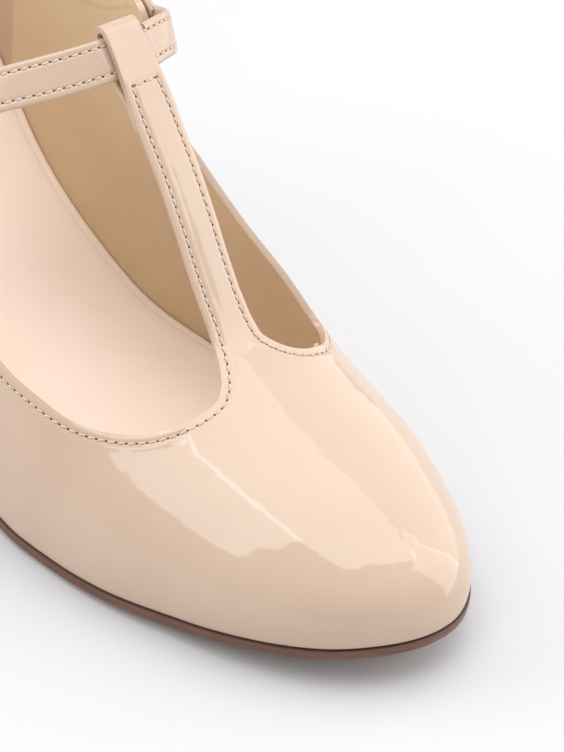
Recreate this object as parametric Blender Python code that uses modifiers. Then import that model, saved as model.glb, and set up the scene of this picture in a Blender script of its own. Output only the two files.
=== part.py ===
"""A right-foot court shoe with a T-bar, an instep strap and a covered heel.

Metres, +Z up. The toe points to -Y and the inner side of the foot to +X. The shoe stands on its
forefoot and on its top piece, with the origin on the floor under the middle of its bounding box.

Every curved piece is worked out from one form, the last. A station of the last is a share of the
length from the toe (0) to the back of the heel (1). At each station two half sections rise from
the feather edge, where the upper meets the sole, to the ridge over the instep. Behind the heel
centre the half sections turn about an upright line, so they close the heel round the back.
"""
import math

import bmesh
import bpy
import numpy as np
from mathutils import Matrix, Vector

# Main sizes
LENGTH = 0.242            # toe to the back of the heel, over the upper
BALL_WIDTH = 0.0777       # across the feather edge at the ball
INSTEP_HEIGHT = 0.106     # ridge of the last above the feather edge, at the instep
HEEL_RISE = 0.0745        # feather edge at the heel above the feather edge at the ball
TOE_SPRING = 0.0085       # lift of the feather edge at the toe
COUNTER_BULGE = 0.0022    # how far the back of the upper swells past the feather edge

# Upper
WALL = 0.0014             # upper leather and lining together
BAR_WIDTH = 0.0104
LOOP_WIDTH = 0.0084       # the bar is drawn in to this width over the strap
LOOP_START = -0.014       # along the bar from the strap, where it starts to narrow
LOOP_TAPER = 0.018        # length over which it narrows
BAR_BEYOND = 0.02         # how far the bar's line runs on past the strap
TAIL_LENGTH = 0.0045       # end of the bar's loop that lies behind the bar

# Instep strap and its fastening
STRAP_WIDTH = 0.0088
STRAP_THICKNESS = 0.0015
TAB_THICKNESS = 0.0022
TAB_WIDTH = 0.0076
BUCKLE_WIRE = 0.0007      # radius
BUCKLE_LENGTH = 0.0125
BUCKLE_CORNER = 0.0020    # radius of the frame's corners
BUCKLE_BEND = 0.0012      # radius of the middle bar's bends
BUCKLE_HOLE = 0.0026      # length of the hole for the prong
BUCKLE_HOLE_WIDTH = 0.0018
PRONG_SLOT = 0.0023       # width of the tab's slot for the prong
PRONG_SLEEVE = 0.0017     # width of the prong's sleeve
KEEPER_WIDTH = 0.0045
KEEPER_THICKNESS = 0.0011
PRONG_RADIUS = 0.00055
TAB_SHARE = 0.545         # station and part of the outer wall on which the tab is sewn
TAB_PART = 0.72
TAB_LEAN = 0.55           # how far the tab leans towards the toe, as a slope
TAB_START = -0.006        # lower end of the tab, along its run
STRAP_END = 0.002         # free end of the strap, along the same run
STRAP_WING_START = 0.590  # stations between which the strap is sewn to the inner wing
STRAP_WING_END = 0.482
STRAP_WING_COUNT = 10
STRAP_LEAVE = (0.30, -1.0, 0.0)   # direction in which the strap leaves the inner wing
STRAP_RISE = (-1.0, -0.30, 0.0)   # direction in which it reaches the bar
STRAP_FALL = (-1.0, 0.20, -0.10)  # direction in which it leaves the bar
STRAP_PULLS = ((1.25, 1.25), (1.5, 0.8))  # fullness of its two curves at their ends
STRAP_CLEAR = 0.001       # how far the strap stays straight beside the bar
KEEPER_CLEAR = 0.0015     # between the upper's edge and the keeper

# Bottom
OUTSOLE_THICKNESS = 0.0034
OUTSOLE_EDGE = 0.0004     # how far the outsole stands out past the feather edge
INSOLE_THICKNESS = 0.0024
INSOLE_ROLL = 0.0008      # rounding of the insole's upper edge
BREAST_SHARE = 0.775      # station of the heel's front face
HEEL_FOOT_LENGTH = 0.0235
HEEL_FOOT_WIDTH = 0.0225
HEEL_FOOT_SHIFT = 0.0035  # how far the foot of the heel lies in front of the counter
TOP_PIECE_HEIGHT = 0.0052
GAP = 0.0003              # between neighbouring pieces
STRAP_SEAT = 0.0006       # the flat strap over the curved wing

HEEL_CENTRE_SHARE = 0.885
BACK = LENGTH / 2 - COUNTER_BULGE
FLOOR_TO_FEATHER = OUTSOLE_THICKNESS + GAP

# Last: one row for each station.
# share, centre and half width and ridge_x and swell (shares of BALL_WIDTH),
# height (share of INSTEP_HEIGHT), crown (how square the section's shoulder is)
LAST = (
    #  share  centre  half    ridge_x height crown  swell
    (0.000, 0.066, 0.000, 0.066, 0.000, 0.64, 0.000),
    (0.020, 0.056, 0.160, 0.073, 0.108, 0.64, 0.015),
    (0.050, 0.046, 0.255, 0.073, 0.158, 0.64, 0.024),
    (0.100, 0.042, 0.350, 0.073, 0.218, 0.64, 0.033),
    (0.160, 0.040, 0.426, 0.073, 0.274, 0.65, 0.037),
    (0.240, 0.020, 0.485, 0.074, 0.346, 0.66, 0.037),
    (0.280, 0.011, 0.497, 0.075, 0.400, 0.63, 0.037),
    (0.320, 0.001, 0.500, 0.076, 0.480, 0.58, 0.037),
    (0.400, -0.024, 0.466, 0.078, 0.660, 0.46, 0.030),
    (0.500, -0.064, 0.372, 0.070, 0.850, 0.42, 0.030),
    (0.600, -0.072, 0.312, 0.040, 0.950, 0.42, 0.040),
    (0.720, -0.040, 0.308, 0.000, 1.000, 0.44, 0.055),
    (0.850, -0.012, 0.328, -0.010, 1.000, 0.46, 0.075),
    (1.000, -0.008, 0.330, -0.008, 1.000, 0.50, 0.095),
)

# Rise of the feather edge: share, rise (share of HEEL_RISE)
RISE = (
    (0.00, 0.000), (0.34, 0.000), (0.40, 0.030), (0.45, 0.095), (0.50, 0.200), (0.60, 0.490),
    (0.72, 0.830), (0.85, 0.975), (1.00, 1.020),
)

# Toplines: one row for each station, from the throat's front to the back of the heel.
# share, run (share of the half section from the feather edge), and how far the edge is pushed
# off the last: out (share of BALL_WIDTH), up (share of INSTEP_HEIGHT)
OUTER_TOPLINE = (
    #  share  run    out    up
    (0.233, 0.810, 0.000, 0.000),
    (0.238, 0.705, 0.000, 0.000),
    (0.254, 0.600, 0.000, 0.000),
    (0.280, 0.510, 0.000, 0.000),
    (0.309, 0.437, 0.000, 0.000),
    (0.343, 0.384, 0.000, 0.000),
    (0.389, 0.318, 0.000, 0.000),
    (0.450, 0.278, 0.000, 0.000),
    (0.520, 0.262, 0.008, 0.000),
    (0.600, 0.252, 0.014, 0.000),
    (0.720, 0.265, 0.010, 0.000),
    (0.850, 0.320, 0.000, 0.000),
    (1.000, 0.375, 0.000, 0.000),
)
INNER_TOPLINE = (
    #  share  run    out    up
    (0.242, 0.780, 0.000, 0.000),
    (0.256, 0.610, 0.004, 0.000),
    (0.290, 0.505, 0.012, 0.000),
    (0.351, 0.500, 0.022, 0.000),
    (0.381, 0.508, 0.020, 0.000),
    (0.414, 0.520, 0.020, 0.000),
    (0.440, 0.555, 0.012, 0.000),
    (0.462, 0.620, 0.030, 0.008),
    (0.478, 0.655, 0.076, 0.020),
    (0.500, 0.600, 0.084, 0.014),
    (0.530, 0.480, 0.070, 0.006),
    (0.565, 0.385, 0.055, 0.000),
    (0.600, 0.330, 0.045, 0.000),
    (0.660, 0.280, 0.030, 0.000),
    (0.720, 0.262, 0.020, 0.000),
    (0.850, 0.320, 0.000, 0.000),
    (1.000, 0.375, 0.000, 0.000),
)
OUTER_TIP, INNER_TIP = OUTER_TOPLINE[0][0], INNER_TOPLINE[0][0]

# The T-bar: where it stands over the ridge, and how its root widens into the vamp
BAR_CENTRE = 0.071        # share of BALL_WIDTH, towards the inner side
OUTER_FLARE = 0.050       # shares of the length over which each side of the root widens
INNER_FLARE = 0.022
BAR_FREE_SHARE = 0.292    # station from which the bar is a flat strip clear of the last
TAIL_STEP = 0.006         # length over which the loop's back comes up against the bar
STRAP_SHARE = 0.4185      # station at which the strap passes under the bar
BAR_CROWN = 0.0006        # how far the bar's middle stands above its edges
# share, height above the feather edge at the ball (share of INSTEP_HEIGHT)
BAR_LINE = (
    (0.262, 0.376), (0.282, 0.414), (0.305, 0.488), (0.324, 0.560), (0.348, 0.645),
    (0.369, 0.710), (0.400, 0.800), (0.417, 0.846), (0.440, 0.905),
)


def smooth(x, table, column):
    """Read one column of a table at x, as a curve through its rows without overshoot."""
    rows = np.array(table, float)
    xs, ys = rows[:, 0], rows[:, column]
    step = np.diff(xs)
    slope = np.diff(ys) / step
    tangent = np.zeros_like(ys)
    same = slope[:-1] * slope[1:] > 0
    inner = np.where(same, 2 * slope[:-1] * slope[1:] / np.where(same, slope[:-1] + slope[1:], 1), 0)
    tangent[1:-1] = inner
    tangent[0], tangent[-1] = slope[0], slope[-1]
    x = np.clip(np.asarray(x, float), xs[0], xs[-1])
    k = np.clip(np.searchsorted(xs, x, side="right") - 1, 0, len(step) - 1)
    t = (x - xs[k]) / step[k]
    h = step[k]
    return ((1 + 2 * t) * (1 - t) ** 2 * ys[k] + t * (1 - t) ** 2 * h * tangent[k]
            + t * t * (3 - 2 * t) * ys[k + 1] + t * t * (t - 1) * h * tangent[k + 1])


def from_toe(share, column):
    """Read the last's table along the square root of the share, which rounds the toe."""
    rows = [(math.sqrt(row[0]),) + row[1:] for row in LAST]
    return smooth(np.sqrt(np.clip(share, 0, 1)), rows, column)


def feather_height(share):
    """Height of the feather edge above the floor: toe spring, flat ball, then the arch."""
    spring = TOE_SPRING * np.clip(1 - np.asarray(share) / 0.30, 0, 1) ** 1.8
    return FLOOR_TO_FEATHER + spring + HEEL_RISE * smooth(share, RISE, 1)


def half_section(share, side):
    """Origin, outward direction, half width and true share of the half sections at a station.

    side is -1 for the outer side and +1 for the inner side. Behind the heel centre the
    direction turns from straight sideways to straight back.
    """
    share = np.asarray(share, float)
    turn = np.clip((share - HEEL_CENTRE_SHARE) / (1 - HEEL_CENTRE_SHARE), 0, 1) * math.pi / 2
    length = LENGTH / 2 + BACK
    base = np.minimum(share, HEEL_CENTRE_SHARE)
    origin_x = BALL_WIDTH * from_toe(base, 1)
    origin_y = -LENGTH / 2 + base * length
    across = BALL_WIDTH * from_toe(base, 2)
    behind = (1 - HEEL_CENTRE_SHARE) * length
    half = 1 / np.sqrt((np.cos(turn) / np.maximum(across, 1e-9)) ** 2 + (np.sin(turn) / behind) ** 2)
    half = np.where(turn > 0, half, across)
    direction = np.stack([side * np.cos(turn), np.sin(turn)], -1)
    true_share = (origin_y + direction[..., 1] * half + LENGTH / 2) / length
    return origin_x, origin_y, direction, half, true_share


def last_point(share, side, run):
    """Point of the last on one half section: run 0 is the feather edge, 1 is the ridge.

    Each half section is a cubic curve. It leaves the feather edge upwards with a little swell,
    and comes to the ridge level, with its shoulder set by the crown.
    """
    share, run = np.broadcast_arrays(np.asarray(share, float), np.asarray(run, float))
    origin_x, origin_y, direction, half, true_share = half_section(share, side)
    height = INSTEP_HEIGHT * from_toe(share, 4)
    ridge = (BALL_WIDTH * from_toe(share, 3) - origin_x) * side * np.abs(direction[..., 0])
    crown = from_toe(share, 5)
    swell = BALL_WIDTH * from_toe(share, 6)
    r0, r1 = half, half + swell
    r2, r3 = ridge + (half - ridge) * crown, ridge
    z1 = 0.52 * height
    a, b, c, d = (1 - run) ** 3, 3 * (1 - run) ** 2 * run, 3 * (1 - run) * run ** 2, run ** 3
    radius = a * r0 + b * r1 + c * r2 + d * r3
    rise = b * z1 + (c + d) * height
    x = origin_x + direction[..., 0] * radius
    y = origin_y + direction[..., 1] * radius
    return np.stack([x, y, feather_height(true_share) + rise], -1)


def feather(share, side):
    """Point of the feather edge."""
    return last_point(share, side, 0.0)


def topline(share, side):
    """Run and push of the topline, read so that the throat's tip comes out round."""
    table = INNER_TOPLINE if side > 0 else OUTER_TOPLINE
    tip = table[0][0]
    rows = [(math.sqrt(row[0] - tip),) + row[1:] for row in table]
    reach = np.sqrt(np.clip(np.asarray(share, float) - tip, 0, 1))
    run, out, up = (smooth(reach, rows, column) for column in (1, 2, 3))
    push = np.stack([side * out * BALL_WIDTH, np.zeros_like(out), up * INSTEP_HEIGHT], -1)
    return run, push


def wall_point(share, side, part):
    """Point of a side wall: part 0 is the feather edge, 1 is the topline."""
    share, part = np.broadcast_arrays(np.asarray(share, float), np.asarray(part, float))
    run, push = topline(share, side)
    return last_point(share, side, run * part) + push * (part ** 2)[..., None]


def over_last(share, x):
    """Point of the last's upper part at a station, straight above a given x."""
    runs = np.linspace(0.30, 1, 150)
    outer = last_point(share, -1, runs)
    inner = last_point(share, 1, runs)[::-1]
    line = np.concatenate([outer, inner[1:]])
    return np.stack([np.interp(x, line[:, 0], line[:, i]) for i in range(3)], -1)


def bar_line(share):
    """Middle of the T-bar in the upright plane along the shoe, as y and z."""
    y = -LENGTH / 2 + np.asarray(share) * (LENGTH / 2 + BACK)
    return np.stack([y, FLOOR_TO_FEATHER + INSTEP_HEIGHT * smooth(share, BAR_LINE, 1)], -1)


def bar_frame():
    """Where the strap crosses the bar: the point, the way up the bar and the way out of it."""
    low, high = bar_line(np.array([STRAP_SHARE - 0.01, STRAP_SHARE]))
    up = (high - low) / np.linalg.norm(high - low)
    return high, up, np.array([-up[1], up[0]])


def bar_offset(reach, depth):
    """Point beside the bar's line: reach along it from the strap, depth in towards the foot."""
    crossing, up, _ = bar_frame()
    shares = np.linspace(INNER_TIP, STRAP_SHARE, 120)
    line = bar_line(shares)
    steps = np.linalg.norm(np.diff(line, axis=0), axis=1)
    back = np.concatenate([[0], np.cumsum(steps)])
    back = back - back[-1]
    line = np.concatenate([line, [crossing + up * BAR_BEYOND]])
    back = np.append(back, BAR_BEYOND)
    tangent = np.gradient(line, back, axis=0)
    point = np.array([np.interp(reach, back, line[:, i]) for i in (0, 1)])
    along = np.array([np.interp(reach, back, tangent[:, i]) for i in (0, 1)])
    along = along / np.linalg.norm(along)
    return point - depth * np.array([-along[1], along[0]])


def bar_crown(reach):
    """Droop of the bar's edges at a distance from the strap: none where the loop lies flat."""
    return BAR_CROWN * min(1.0, max(0.0, (-reach - STRAP_WIDTH / 2) / 0.010))


def bar_width(reach):
    """Width of the bar at a distance from the strap: full below it, narrow in the loop."""
    part = min(1.0, max(0.0, (reach - LOOP_START) / LOOP_TAPER))
    return BAR_WIDTH + (LOOP_WIDTH - BAR_WIDTH) * part * part * (3 - 2 * part)


def loop_line():
    """The bar from its root over the strap, down behind it and along the back of the bar.

    Each entry is a point, the droop of the row's edges and the width of the row.
    """
    start = -np.linalg.norm(bar_line(STRAP_SHARE) - bar_line(BAR_FREE_SHARE))
    fold_start = STRAP_WIDTH / 2
    depth = 2 * GAP + STRAP_THICKNESS + 2 * WALL
    lower = -(STRAP_WIDTH / 2 + GAP)
    tail_depth = 2 * WALL + GAP
    points = [(bar_offset(reach, 0.0), bar_crown(reach), bar_width(reach))
              for reach in np.linspace(start, fold_start, 16)]
    _, up, out = bar_frame()
    centre = bar_offset(fold_start, depth / 2)
    for angle in np.linspace(0, math.pi, 8)[1:]:
        turned = centre + depth / 2 * (out * math.cos(angle) + up * math.sin(angle))
        points.append((turned, 0.0, LOOP_WIDTH))
    points += [(bar_offset(reach, depth), 0.0, LOOP_WIDTH)
               for reach in np.linspace(fold_start, lower, 4)[1:]]
    ends = [(lower - TAIL_STEP * part, depth + (tail_depth - depth) * part * part * (3 - 2 * part))
            for part in (0.33, 0.67, 1.0)]
    ends += [(lower - TAIL_STEP - TAIL_LENGTH * part, tail_depth) for part in (0.33, 0.67, 1.0)]
    points += [(bar_offset(reach, deep), -bar_crown(reach), LOOP_WIDTH) for reach, deep in ends]
    return points


def bar_edges(share):
    """x of the bar's two edges on the last: the folds before the tips, then the flared root."""
    centre, half = BAR_CENTRE * BALL_WIDTH, BAR_WIDTH / 2
    edges = []
    for side, tip, flare in ((-1, OUTER_TIP, OUTER_FLARE), (1, INNER_TIP, INNER_FLARE)):
        run = topline(tip, side)[0]
        fold = float(last_point(min(share, tip), side, run)[0])
        if share <= tip:
            edges.append(fold)
            continue
        narrow = centre + side * half
        left = max(0.0, 1 - math.sqrt((share - tip) / flare))
        edges.append(narrow + (fold - narrow) * left ** 1.15)
    return edges


def bar_rows(count):
    """Rows of points across the vamp's top and the bar, from the toe to the tail of the loop."""
    across = np.linspace(0, 1, count)
    rows = []
    for share in [share for share in STATIONS if share < BAR_FREE_SHARE - 0.005]:
        outer, inner = bar_edges(share)
        on_last = over_last(share, outer + (inner - outer) * across)
        for side, tip, end in ((-1, OUTER_TIP, 0), (1, INNER_TIP, -1)):
            if share <= tip:
                on_last[end] = wall_point(share, side, 1.0)
        part = min(1.0, max(0.0, (share - BAR_FREE_SHARE) / 0.034 + 1))
        lift = part * part * (3 - 2 * part)
        strip = on_last.copy()
        strip[:, 2] = bar_line(share)[1] - BAR_CROWN * (2 * across - 1) ** 2
        rows.append(on_last + (strip - on_last) * lift)
    line = loop_line()
    places = [point for point, _, _ in line]
    nexts = places[1:] + places[-1:]
    for before, (point, crown, width), after in zip(places[:1] + places[:-1], line, nexts):
        x = BAR_CENTRE * BALL_WIDTH + width * (across - 0.5)
        along = (after - before) / np.linalg.norm(after - before)
        drop = crown * (2 * across - 1) ** 2
        y = point[0] + drop * along[1]
        z = point[1] - drop * along[0]
        rows.append(np.stack([x, y, z], -1))
    return rows


# Stations of the upper: dense at the toe, and closing in on each tip of the throat
STATIONS = (
    0.0, 0.003, 0.010, 0.022, 0.040, 0.062, 0.090, 0.122, 0.155, 0.185, 0.212,
    OUTER_TIP, 0.2345, 0.238, INNER_TIP, 0.2435, 0.247, 0.253, 0.262, 0.273, 0.285, 0.301,
    0.320, 0.345, 0.370, 0.392, 0.410, 0.426, 0.440, 0.455, 0.468, 0.478, 0.488, 0.500,
    0.520, 0.545, 0.570, 0.600, 0.640, 0.680, 0.720, 0.765, 0.810, 0.850,
    HEEL_CENTRE_SHARE, 0.908, 0.931, 0.954, 0.977, 1.0,
)
WALL_PARTS = (0.0, 0.12, 0.26, 0.41, 0.56, 0.71, 0.86, 1.0)
TOP_COUNT = 9


def new_object(name, mesh, material, collection):
    """Put a mesh in the scene as a named object with its material."""
    mesh.materials.clear()
    mesh.materials.append(material)
    item = bpy.data.objects.new(name, mesh)
    collection.objects.link(item)
    return item


def mesh_from_grids(name, grids, closed=False):
    """One mesh from grids of points; points that coincide are merged."""
    points, faces = [], []
    for grid in grids:
        grid = np.asarray(grid, float)
        rows, columns = grid.shape[:2]
        base = len(points)
        points.extend(map(tuple, grid.reshape(-1, 3)))
        for r in range(rows - 1):
            for c in range(columns - 1):
                a = base + r * columns + c
                faces.append((a, a + 1, a + columns + 1, a + columns))
    mesh = bpy.data.meshes.new(name)
    mesh.from_pydata(points, [], faces)
    form = bmesh.new()
    form.from_mesh(mesh)
    bmesh.ops.remove_doubles(form, verts=form.verts, dist=0.00002)
    bmesh.ops.dissolve_degenerate(form, edges=form.edges, dist=0.00001)
    if closed:
        bmesh.ops.recalc_face_normals(form, faces=form.faces)
    form.to_mesh(mesh)
    form.free()
    for polygon in mesh.polygons:
        polygon.use_smooth = True
    return mesh


def wall_grid(side):
    """Grid of a side wall from the toe to the back of the heel."""
    grid = [wall_point(share, side, np.array(WALL_PARTS)) for share in STATIONS]
    return np.array(grid)


def make_upper(material, collection):
    """Vamp, quarters, T-bar and loop as one shell, open at the throat, collar and underneath."""
    outer, inner = wall_grid(-1), wall_grid(1)
    top = np.array(bar_rows(TOP_COUNT))
    mesh = mesh_from_grids("upper", [outer, top, inner[:, ::-1]])
    item = new_object("upper", mesh, material, collection)
    shell = item.modifiers.new("Wall", "SOLIDIFY")
    shell.thickness = WALL
    shell.offset = -1
    shell.use_even_offset = False
    return item


def outline(shares, distance):
    """Outer and inner feather edge in plan, moved outwards by a distance; rows are x, y."""
    outer, inner = feather(shares, -1)[:, :2], feather(shares, 1)[:, :2]
    front = int(np.linalg.norm(outer[0] - inner[0]) < 1e-6)
    back = int(np.linalg.norm(outer[-1] - inner[-1]) < 1e-6)
    loop = np.concatenate([outer, inner[front:len(inner) - back][::-1]])
    after, before = np.roll(loop, -1, 0) - loop, loop - np.roll(loop, 1, 0)
    along = after / np.linalg.norm(after, axis=1)[:, None]
    along = along + before / np.linalg.norm(before, axis=1)[:, None]
    along = along / np.linalg.norm(along, axis=1)[:, None]
    moved = loop + distance * np.stack([-along[:, 1], along[:, 0]], -1)
    count = len(outer)
    others = moved[count:][::-1]
    moved_inner = np.concatenate([moved[:front], others, moved[count - back:count]])
    return moved[:count], moved_inner


def height_at(y):
    """Height of the feather edge at a given y."""
    return feather_height((np.asarray(y) + LENGTH / 2) / (LENGTH / 2 + BACK))


def plate(name, shares, layers, material, collection):
    """A plate under the foot: layers are (outline offset, height above the feather edge)."""
    sides = []
    for distance, height in layers:
        outer, inner = outline(shares, distance)
        sides.append([np.column_stack([edge, height_at(edge[:, 1]) + height])
                      for edge in (outer, inner)])
    grids = []
    for outer, inner in (sides[0], sides[-1]):
        grids.append(np.stack([outer + (inner - outer) * t for t in (0, 0.25, 0.5, 0.75, 1)], 1))
    grids.append(np.stack([pair[0] for pair in sides], 1))
    grids.append(np.stack([pair[1] for pair in sides], 1))
    caps = [0] if np.linalg.norm(sides[0][0][0] - sides[0][1][0]) > 2e-5 else []
    if np.linalg.norm(sides[0][0][-1] - sides[0][1][-1]) > 2e-5:
        caps.append(-1)
    for end in caps:
        rows = [[pair[0][end] + (pair[1][end] - pair[0][end]) * t for t in (0, 0.25, 0.5, 0.75, 1)]
                for pair in sides]
        grids.append(np.array(rows))
    mesh = mesh_from_grids(name, grids, closed=True)
    return new_object(name, mesh, material, collection)


def make_outsole(material, collection):
    """Thin sole from the toe to the heel's front face, with a bevelled lower edge."""
    end = BREAST_SHARE - GAP / LENGTH
    shares = np.array([share for share in STATIONS if share < end - 0.01] + [end])
    edge = OUTSOLE_EDGE
    layers = ((edge - 0.0003, -GAP), (edge, -GAP - 0.0003), (edge, -GAP - 0.7 * OUTSOLE_THICKNESS),
              (edge - 0.0011, -GAP - OUTSOLE_THICKNESS))
    return plate("outsole", shares, layers, material, collection)


def make_insole(material, collection):
    """The sock board inside the upper, with a rolled upper edge."""
    shares = np.array([share for share in STATIONS if share > 0.002])
    inset = -(WALL + 2 * GAP)
    roll = INSOLE_ROLL
    layers = ((inset, 0.0), (inset, INSOLE_THICKNESS - roll),
              (inset - 0.3 * roll, INSOLE_THICKNESS - 0.3 * roll),
              (inset - roll, INSOLE_THICKNESS))
    return plate("insole", shares, layers, material, collection)


def heel_foot(outer, inner):
    """Plan of the heel's foot: the seat's outline scaled to the foot's length and width."""
    y_back = BACK - HEEL_FOOT_SHIFT
    front, back = outer[0, 1], outer[:, 1].max()
    centre = (outer[0, 0] + inner[0, 0]) / 2
    half = max(np.abs(outer[:, 0] - centre).max(), np.abs(inner[:, 0] - centre).max())
    feet = []
    for edge in (outer, inner):
        x = centre + (edge[:, 0] - centre) / half * HEEL_FOOT_WIDTH / 2
        y = y_back - (back - edge[:, 1]) / (back - front) * HEEL_FOOT_LENGTH
        feet.append(np.column_stack([x, y]))
    return feet


def make_heel(material, collection):
    """Covered heel: the seat's outline drawn in to the foot, with a hollowed profile."""
    shares = np.array([BREAST_SHARE] + [share for share in STATIONS if share > BREAST_SHARE + 0.01])
    outer, inner = outline(shares, 0.0)
    feet = heel_foot(outer, inner)
    floor = TOP_PIECE_HEIGHT + GAP
    levels = []
    for part in (0, 0.06, 0.14, 0.25, 0.4, 0.58, 0.78, 1.0):
        ease = 1 - (1 - part) ** 2.3
        pair = []
        for edge, foot in zip((outer, inner), feet):
            seat = height_at(edge[:, 1]) - GAP
            plan = edge + (foot - edge) * ease
            pair.append(np.column_stack([plan, seat + (floor - seat) * part]))
        levels.append(pair)
    across = (0, 0.25, 0.5, 0.75, 1)
    grids = [np.stack([pair[i] for pair in levels], 1) for i in (0, 1)]
    for outer_edge, inner_edge in (levels[0], levels[-1]):
        grids.append(np.stack([outer_edge + (inner_edge - outer_edge) * t for t in across], 1))
    grids.append(np.array([[o[0] + (i[0] - o[0]) * t for t in across] for o, i in levels]))
    mesh = mesh_from_grids("heel", grids, closed=True)
    return new_object("heel", mesh, material, collection)


def make_top_piece(material, collection):
    """The lift under the heel, which stands on the floor."""
    shares = np.array([BREAST_SHARE] + [share for share in STATIONS if share > BREAST_SHARE + 0.01])
    feet = heel_foot(*outline(shares, 0.0))
    levels = [[np.column_stack([foot, np.full(len(foot), z)]) for foot in feet]
              for z in (TOP_PIECE_HEIGHT, 0.0)]
    grids = [np.stack([pair[i] for pair in levels], 1) for i in (0, 1)]
    for outer_edge, inner_edge in levels:
        grids.append(np.stack([outer_edge, inner_edge], 1))
    grids.append(np.array([[pair[0][0], pair[1][0]] for pair in levels]))
    mesh = mesh_from_grids("top_piece", grids, closed=True)
    item = new_object("top_piece", mesh, material, collection)
    edge = item.modifiers.new("Edge", "BEVEL")
    edge.width = 0.0004
    edge.segments = 1
    edge.limit_method = "ANGLE"
    edge.angle_limit = math.radians(60)
    return item


def unit(vector):
    """The vector at length one."""
    vector = np.asarray(vector, float)
    return vector / np.linalg.norm(vector)


def wall_frame(share, side, part):
    """A point of the wall's outer face with its way up and its way out."""
    point = wall_point(share, side, part)
    up = unit(wall_point(share, side, part + 0.02) - wall_point(share, side, part - 0.02))
    along = wall_point(share + 0.004, side, part) - wall_point(share - 0.004, side, part)
    out = unit(np.cross(along, up)) * (-side)
    if out[0] * side < 0:
        out = -out
    return point, up, out


def fastening_frame():
    """Frame of the straight run over the outer quarter: point on the strap's middle, up, out."""
    point, up, out = wall_frame(TAB_SHARE, -1, TAB_PART)
    up = unit(up + np.array([0.0, -TAB_LEAN, 0.0]))
    out = unit(out - up * np.dot(out, up))
    return point + out * (2 * GAP + TAB_THICKNESS + STRAP_THICKNESS / 2), up, out


def fastening_places():
    """Distances up the straight run of the keeper, the buckle and the end of the run."""
    above = wall_point(TAB_SHARE, -1, 1.0) - wall_point(TAB_SHARE, -1, TAB_PART)
    keeper = np.linalg.norm(above) + KEEPER_WIDTH / 2 + KEEPER_CLEAR
    buckle = keeper + KEEPER_WIDTH / 2 + BUCKLE_LENGTH / 2 + 3 * BUCKLE_WIRE
    return keeper, buckle, buckle + BUCKLE_LENGTH / 2 + 2 * BUCKLE_WIRE


def strap_controls():
    """Middle of the strap and its way across at a few places, from the inner end to the outer."""
    rows = []
    reach = STRAP_SEAT + STRAP_THICKNESS / 2
    for share in np.linspace(STRAP_WING_START, STRAP_WING_END, STRAP_WING_COUNT):
        top = wall_point(share, 1, 1.0)
        length = np.linalg.norm(top - wall_point(share, 1, 0.6)) / 0.4
        point, up, out = wall_frame(share, 1, 1 - (STRAP_WIDTH / 2 + 0.0002) / length)
        rows.append((point + out * reach, up))
    crossing, up, out = bar_frame()
    under = crossing - out * (WALL + GAP + STRAP_THICKNESS / 2)
    centre_x = BAR_CENTRE * BALL_WIDTH
    across = np.array([0.0, up[0], up[1]])
    for side in (1, -1):
        x = centre_x + side * (BAR_WIDTH / 2 + STRAP_CLEAR)
        rows.append((np.array([x, under[0], under[1]]), across))
    origin, up, out = fastening_frame()
    _, _, end = fastening_places()
    side = np.cross(up, out)
    side = side if side[2] > 0 else -side
    rows.append((origin + up * end, side))
    return rows, origin, up, side


def strap_line():
    """Points of the strap's middle with the way across it, on a smooth curve."""
    rows, origin, up, side = strap_controls()
    points = np.array([row[0] for row in rows])
    ways = np.array([row[1] for row in rows])
    cut = STRAP_WING_COUNT
    leave, rise, fall = unit(STRAP_LEAVE), unit(STRAP_RISE), unit(STRAP_FALL)
    corner, bar, past, outer = points[cut - 1:cut + 3]
    line, across = list(points[:cut]), list(ways[:cut])
    curves = ((corner, bar, leave, rise, ways[cut - 1], ways[cut], STRAP_PULLS[0]),
              (past, outer, fall, -up, ways[cut + 1], ways[cut + 2], STRAP_PULLS[1]))
    for start, end, first, last, way, next_way, pulls in curves:
        if start is past:
            line.append(past)
            across.append(way)
        first, last = (way_at * pull * np.linalg.norm(end - start)
                       for way_at, pull in zip((first, last), pulls))
        for t in np.linspace(0, 1, 15)[1:]:
            h0, h1 = 2 * t ** 3 - 3 * t * t + 1, t ** 3 - 2 * t * t + t
            h2, h3 = 3 * t * t - 2 * t ** 3, t ** 3 - t * t
            line.append(h0 * start + h1 * first + h2 * end + h3 * last)
            across.append(way + (next_way - way) * t * t * (3 - 2 * t))
    _, _, run = fastening_places()
    for part in (0.5, 1.0):
        line.append(origin + up * (run - (run - STRAP_END) * part))
        across.append(side)
    return np.array(line), np.array(across)


def band(name, line, across, width, thickness, material, collection):
    """A flat strip along a line, with its long edges eased."""
    ease = 0.25 * thickness
    a, b = width / 2, thickness / 2
    ring = ((-a + ease, -b), (a - ease, -b), (a, -b + ease), (a, b - ease),
            (a - ease, b), (-a + ease, b), (-a, b - ease), (-a, -b + ease), (-a + ease, -b))
    along = np.gradient(line, axis=0)
    rows = []
    for point, way, ahead in zip(line, across, along):
        ahead = unit(ahead)
        way = unit(way - ahead * np.dot(way, ahead))
        out = np.cross(ahead, way)
        rows.append([point + way * h + out * n for h, n in ring])
    grids = [np.array(rows)]
    for row in (rows[0], rows[-1]):
        grids.append(np.array([[row[0], row[1]], [row[7], row[2]], [row[6], row[3]],
                               [row[5], row[4]]]))
    mesh = mesh_from_grids(name, grids, closed=True)
    return new_object(name, mesh, material, collection)


def place(item, distance):
    """Put an object made around the strap's middle at a distance up the fastening's run."""
    origin, up, out = fastening_frame()
    side = np.cross(up, out)
    point = origin + up * distance
    item.matrix_world = Matrix((
        (side[0], up[0], out[0], point[0]),
        (side[1], up[1], out[1], point[1]),
        (side[2], up[2], out[2], point[2]),
        (0.0, 0.0, 0.0, 1.0),
    ))


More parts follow.
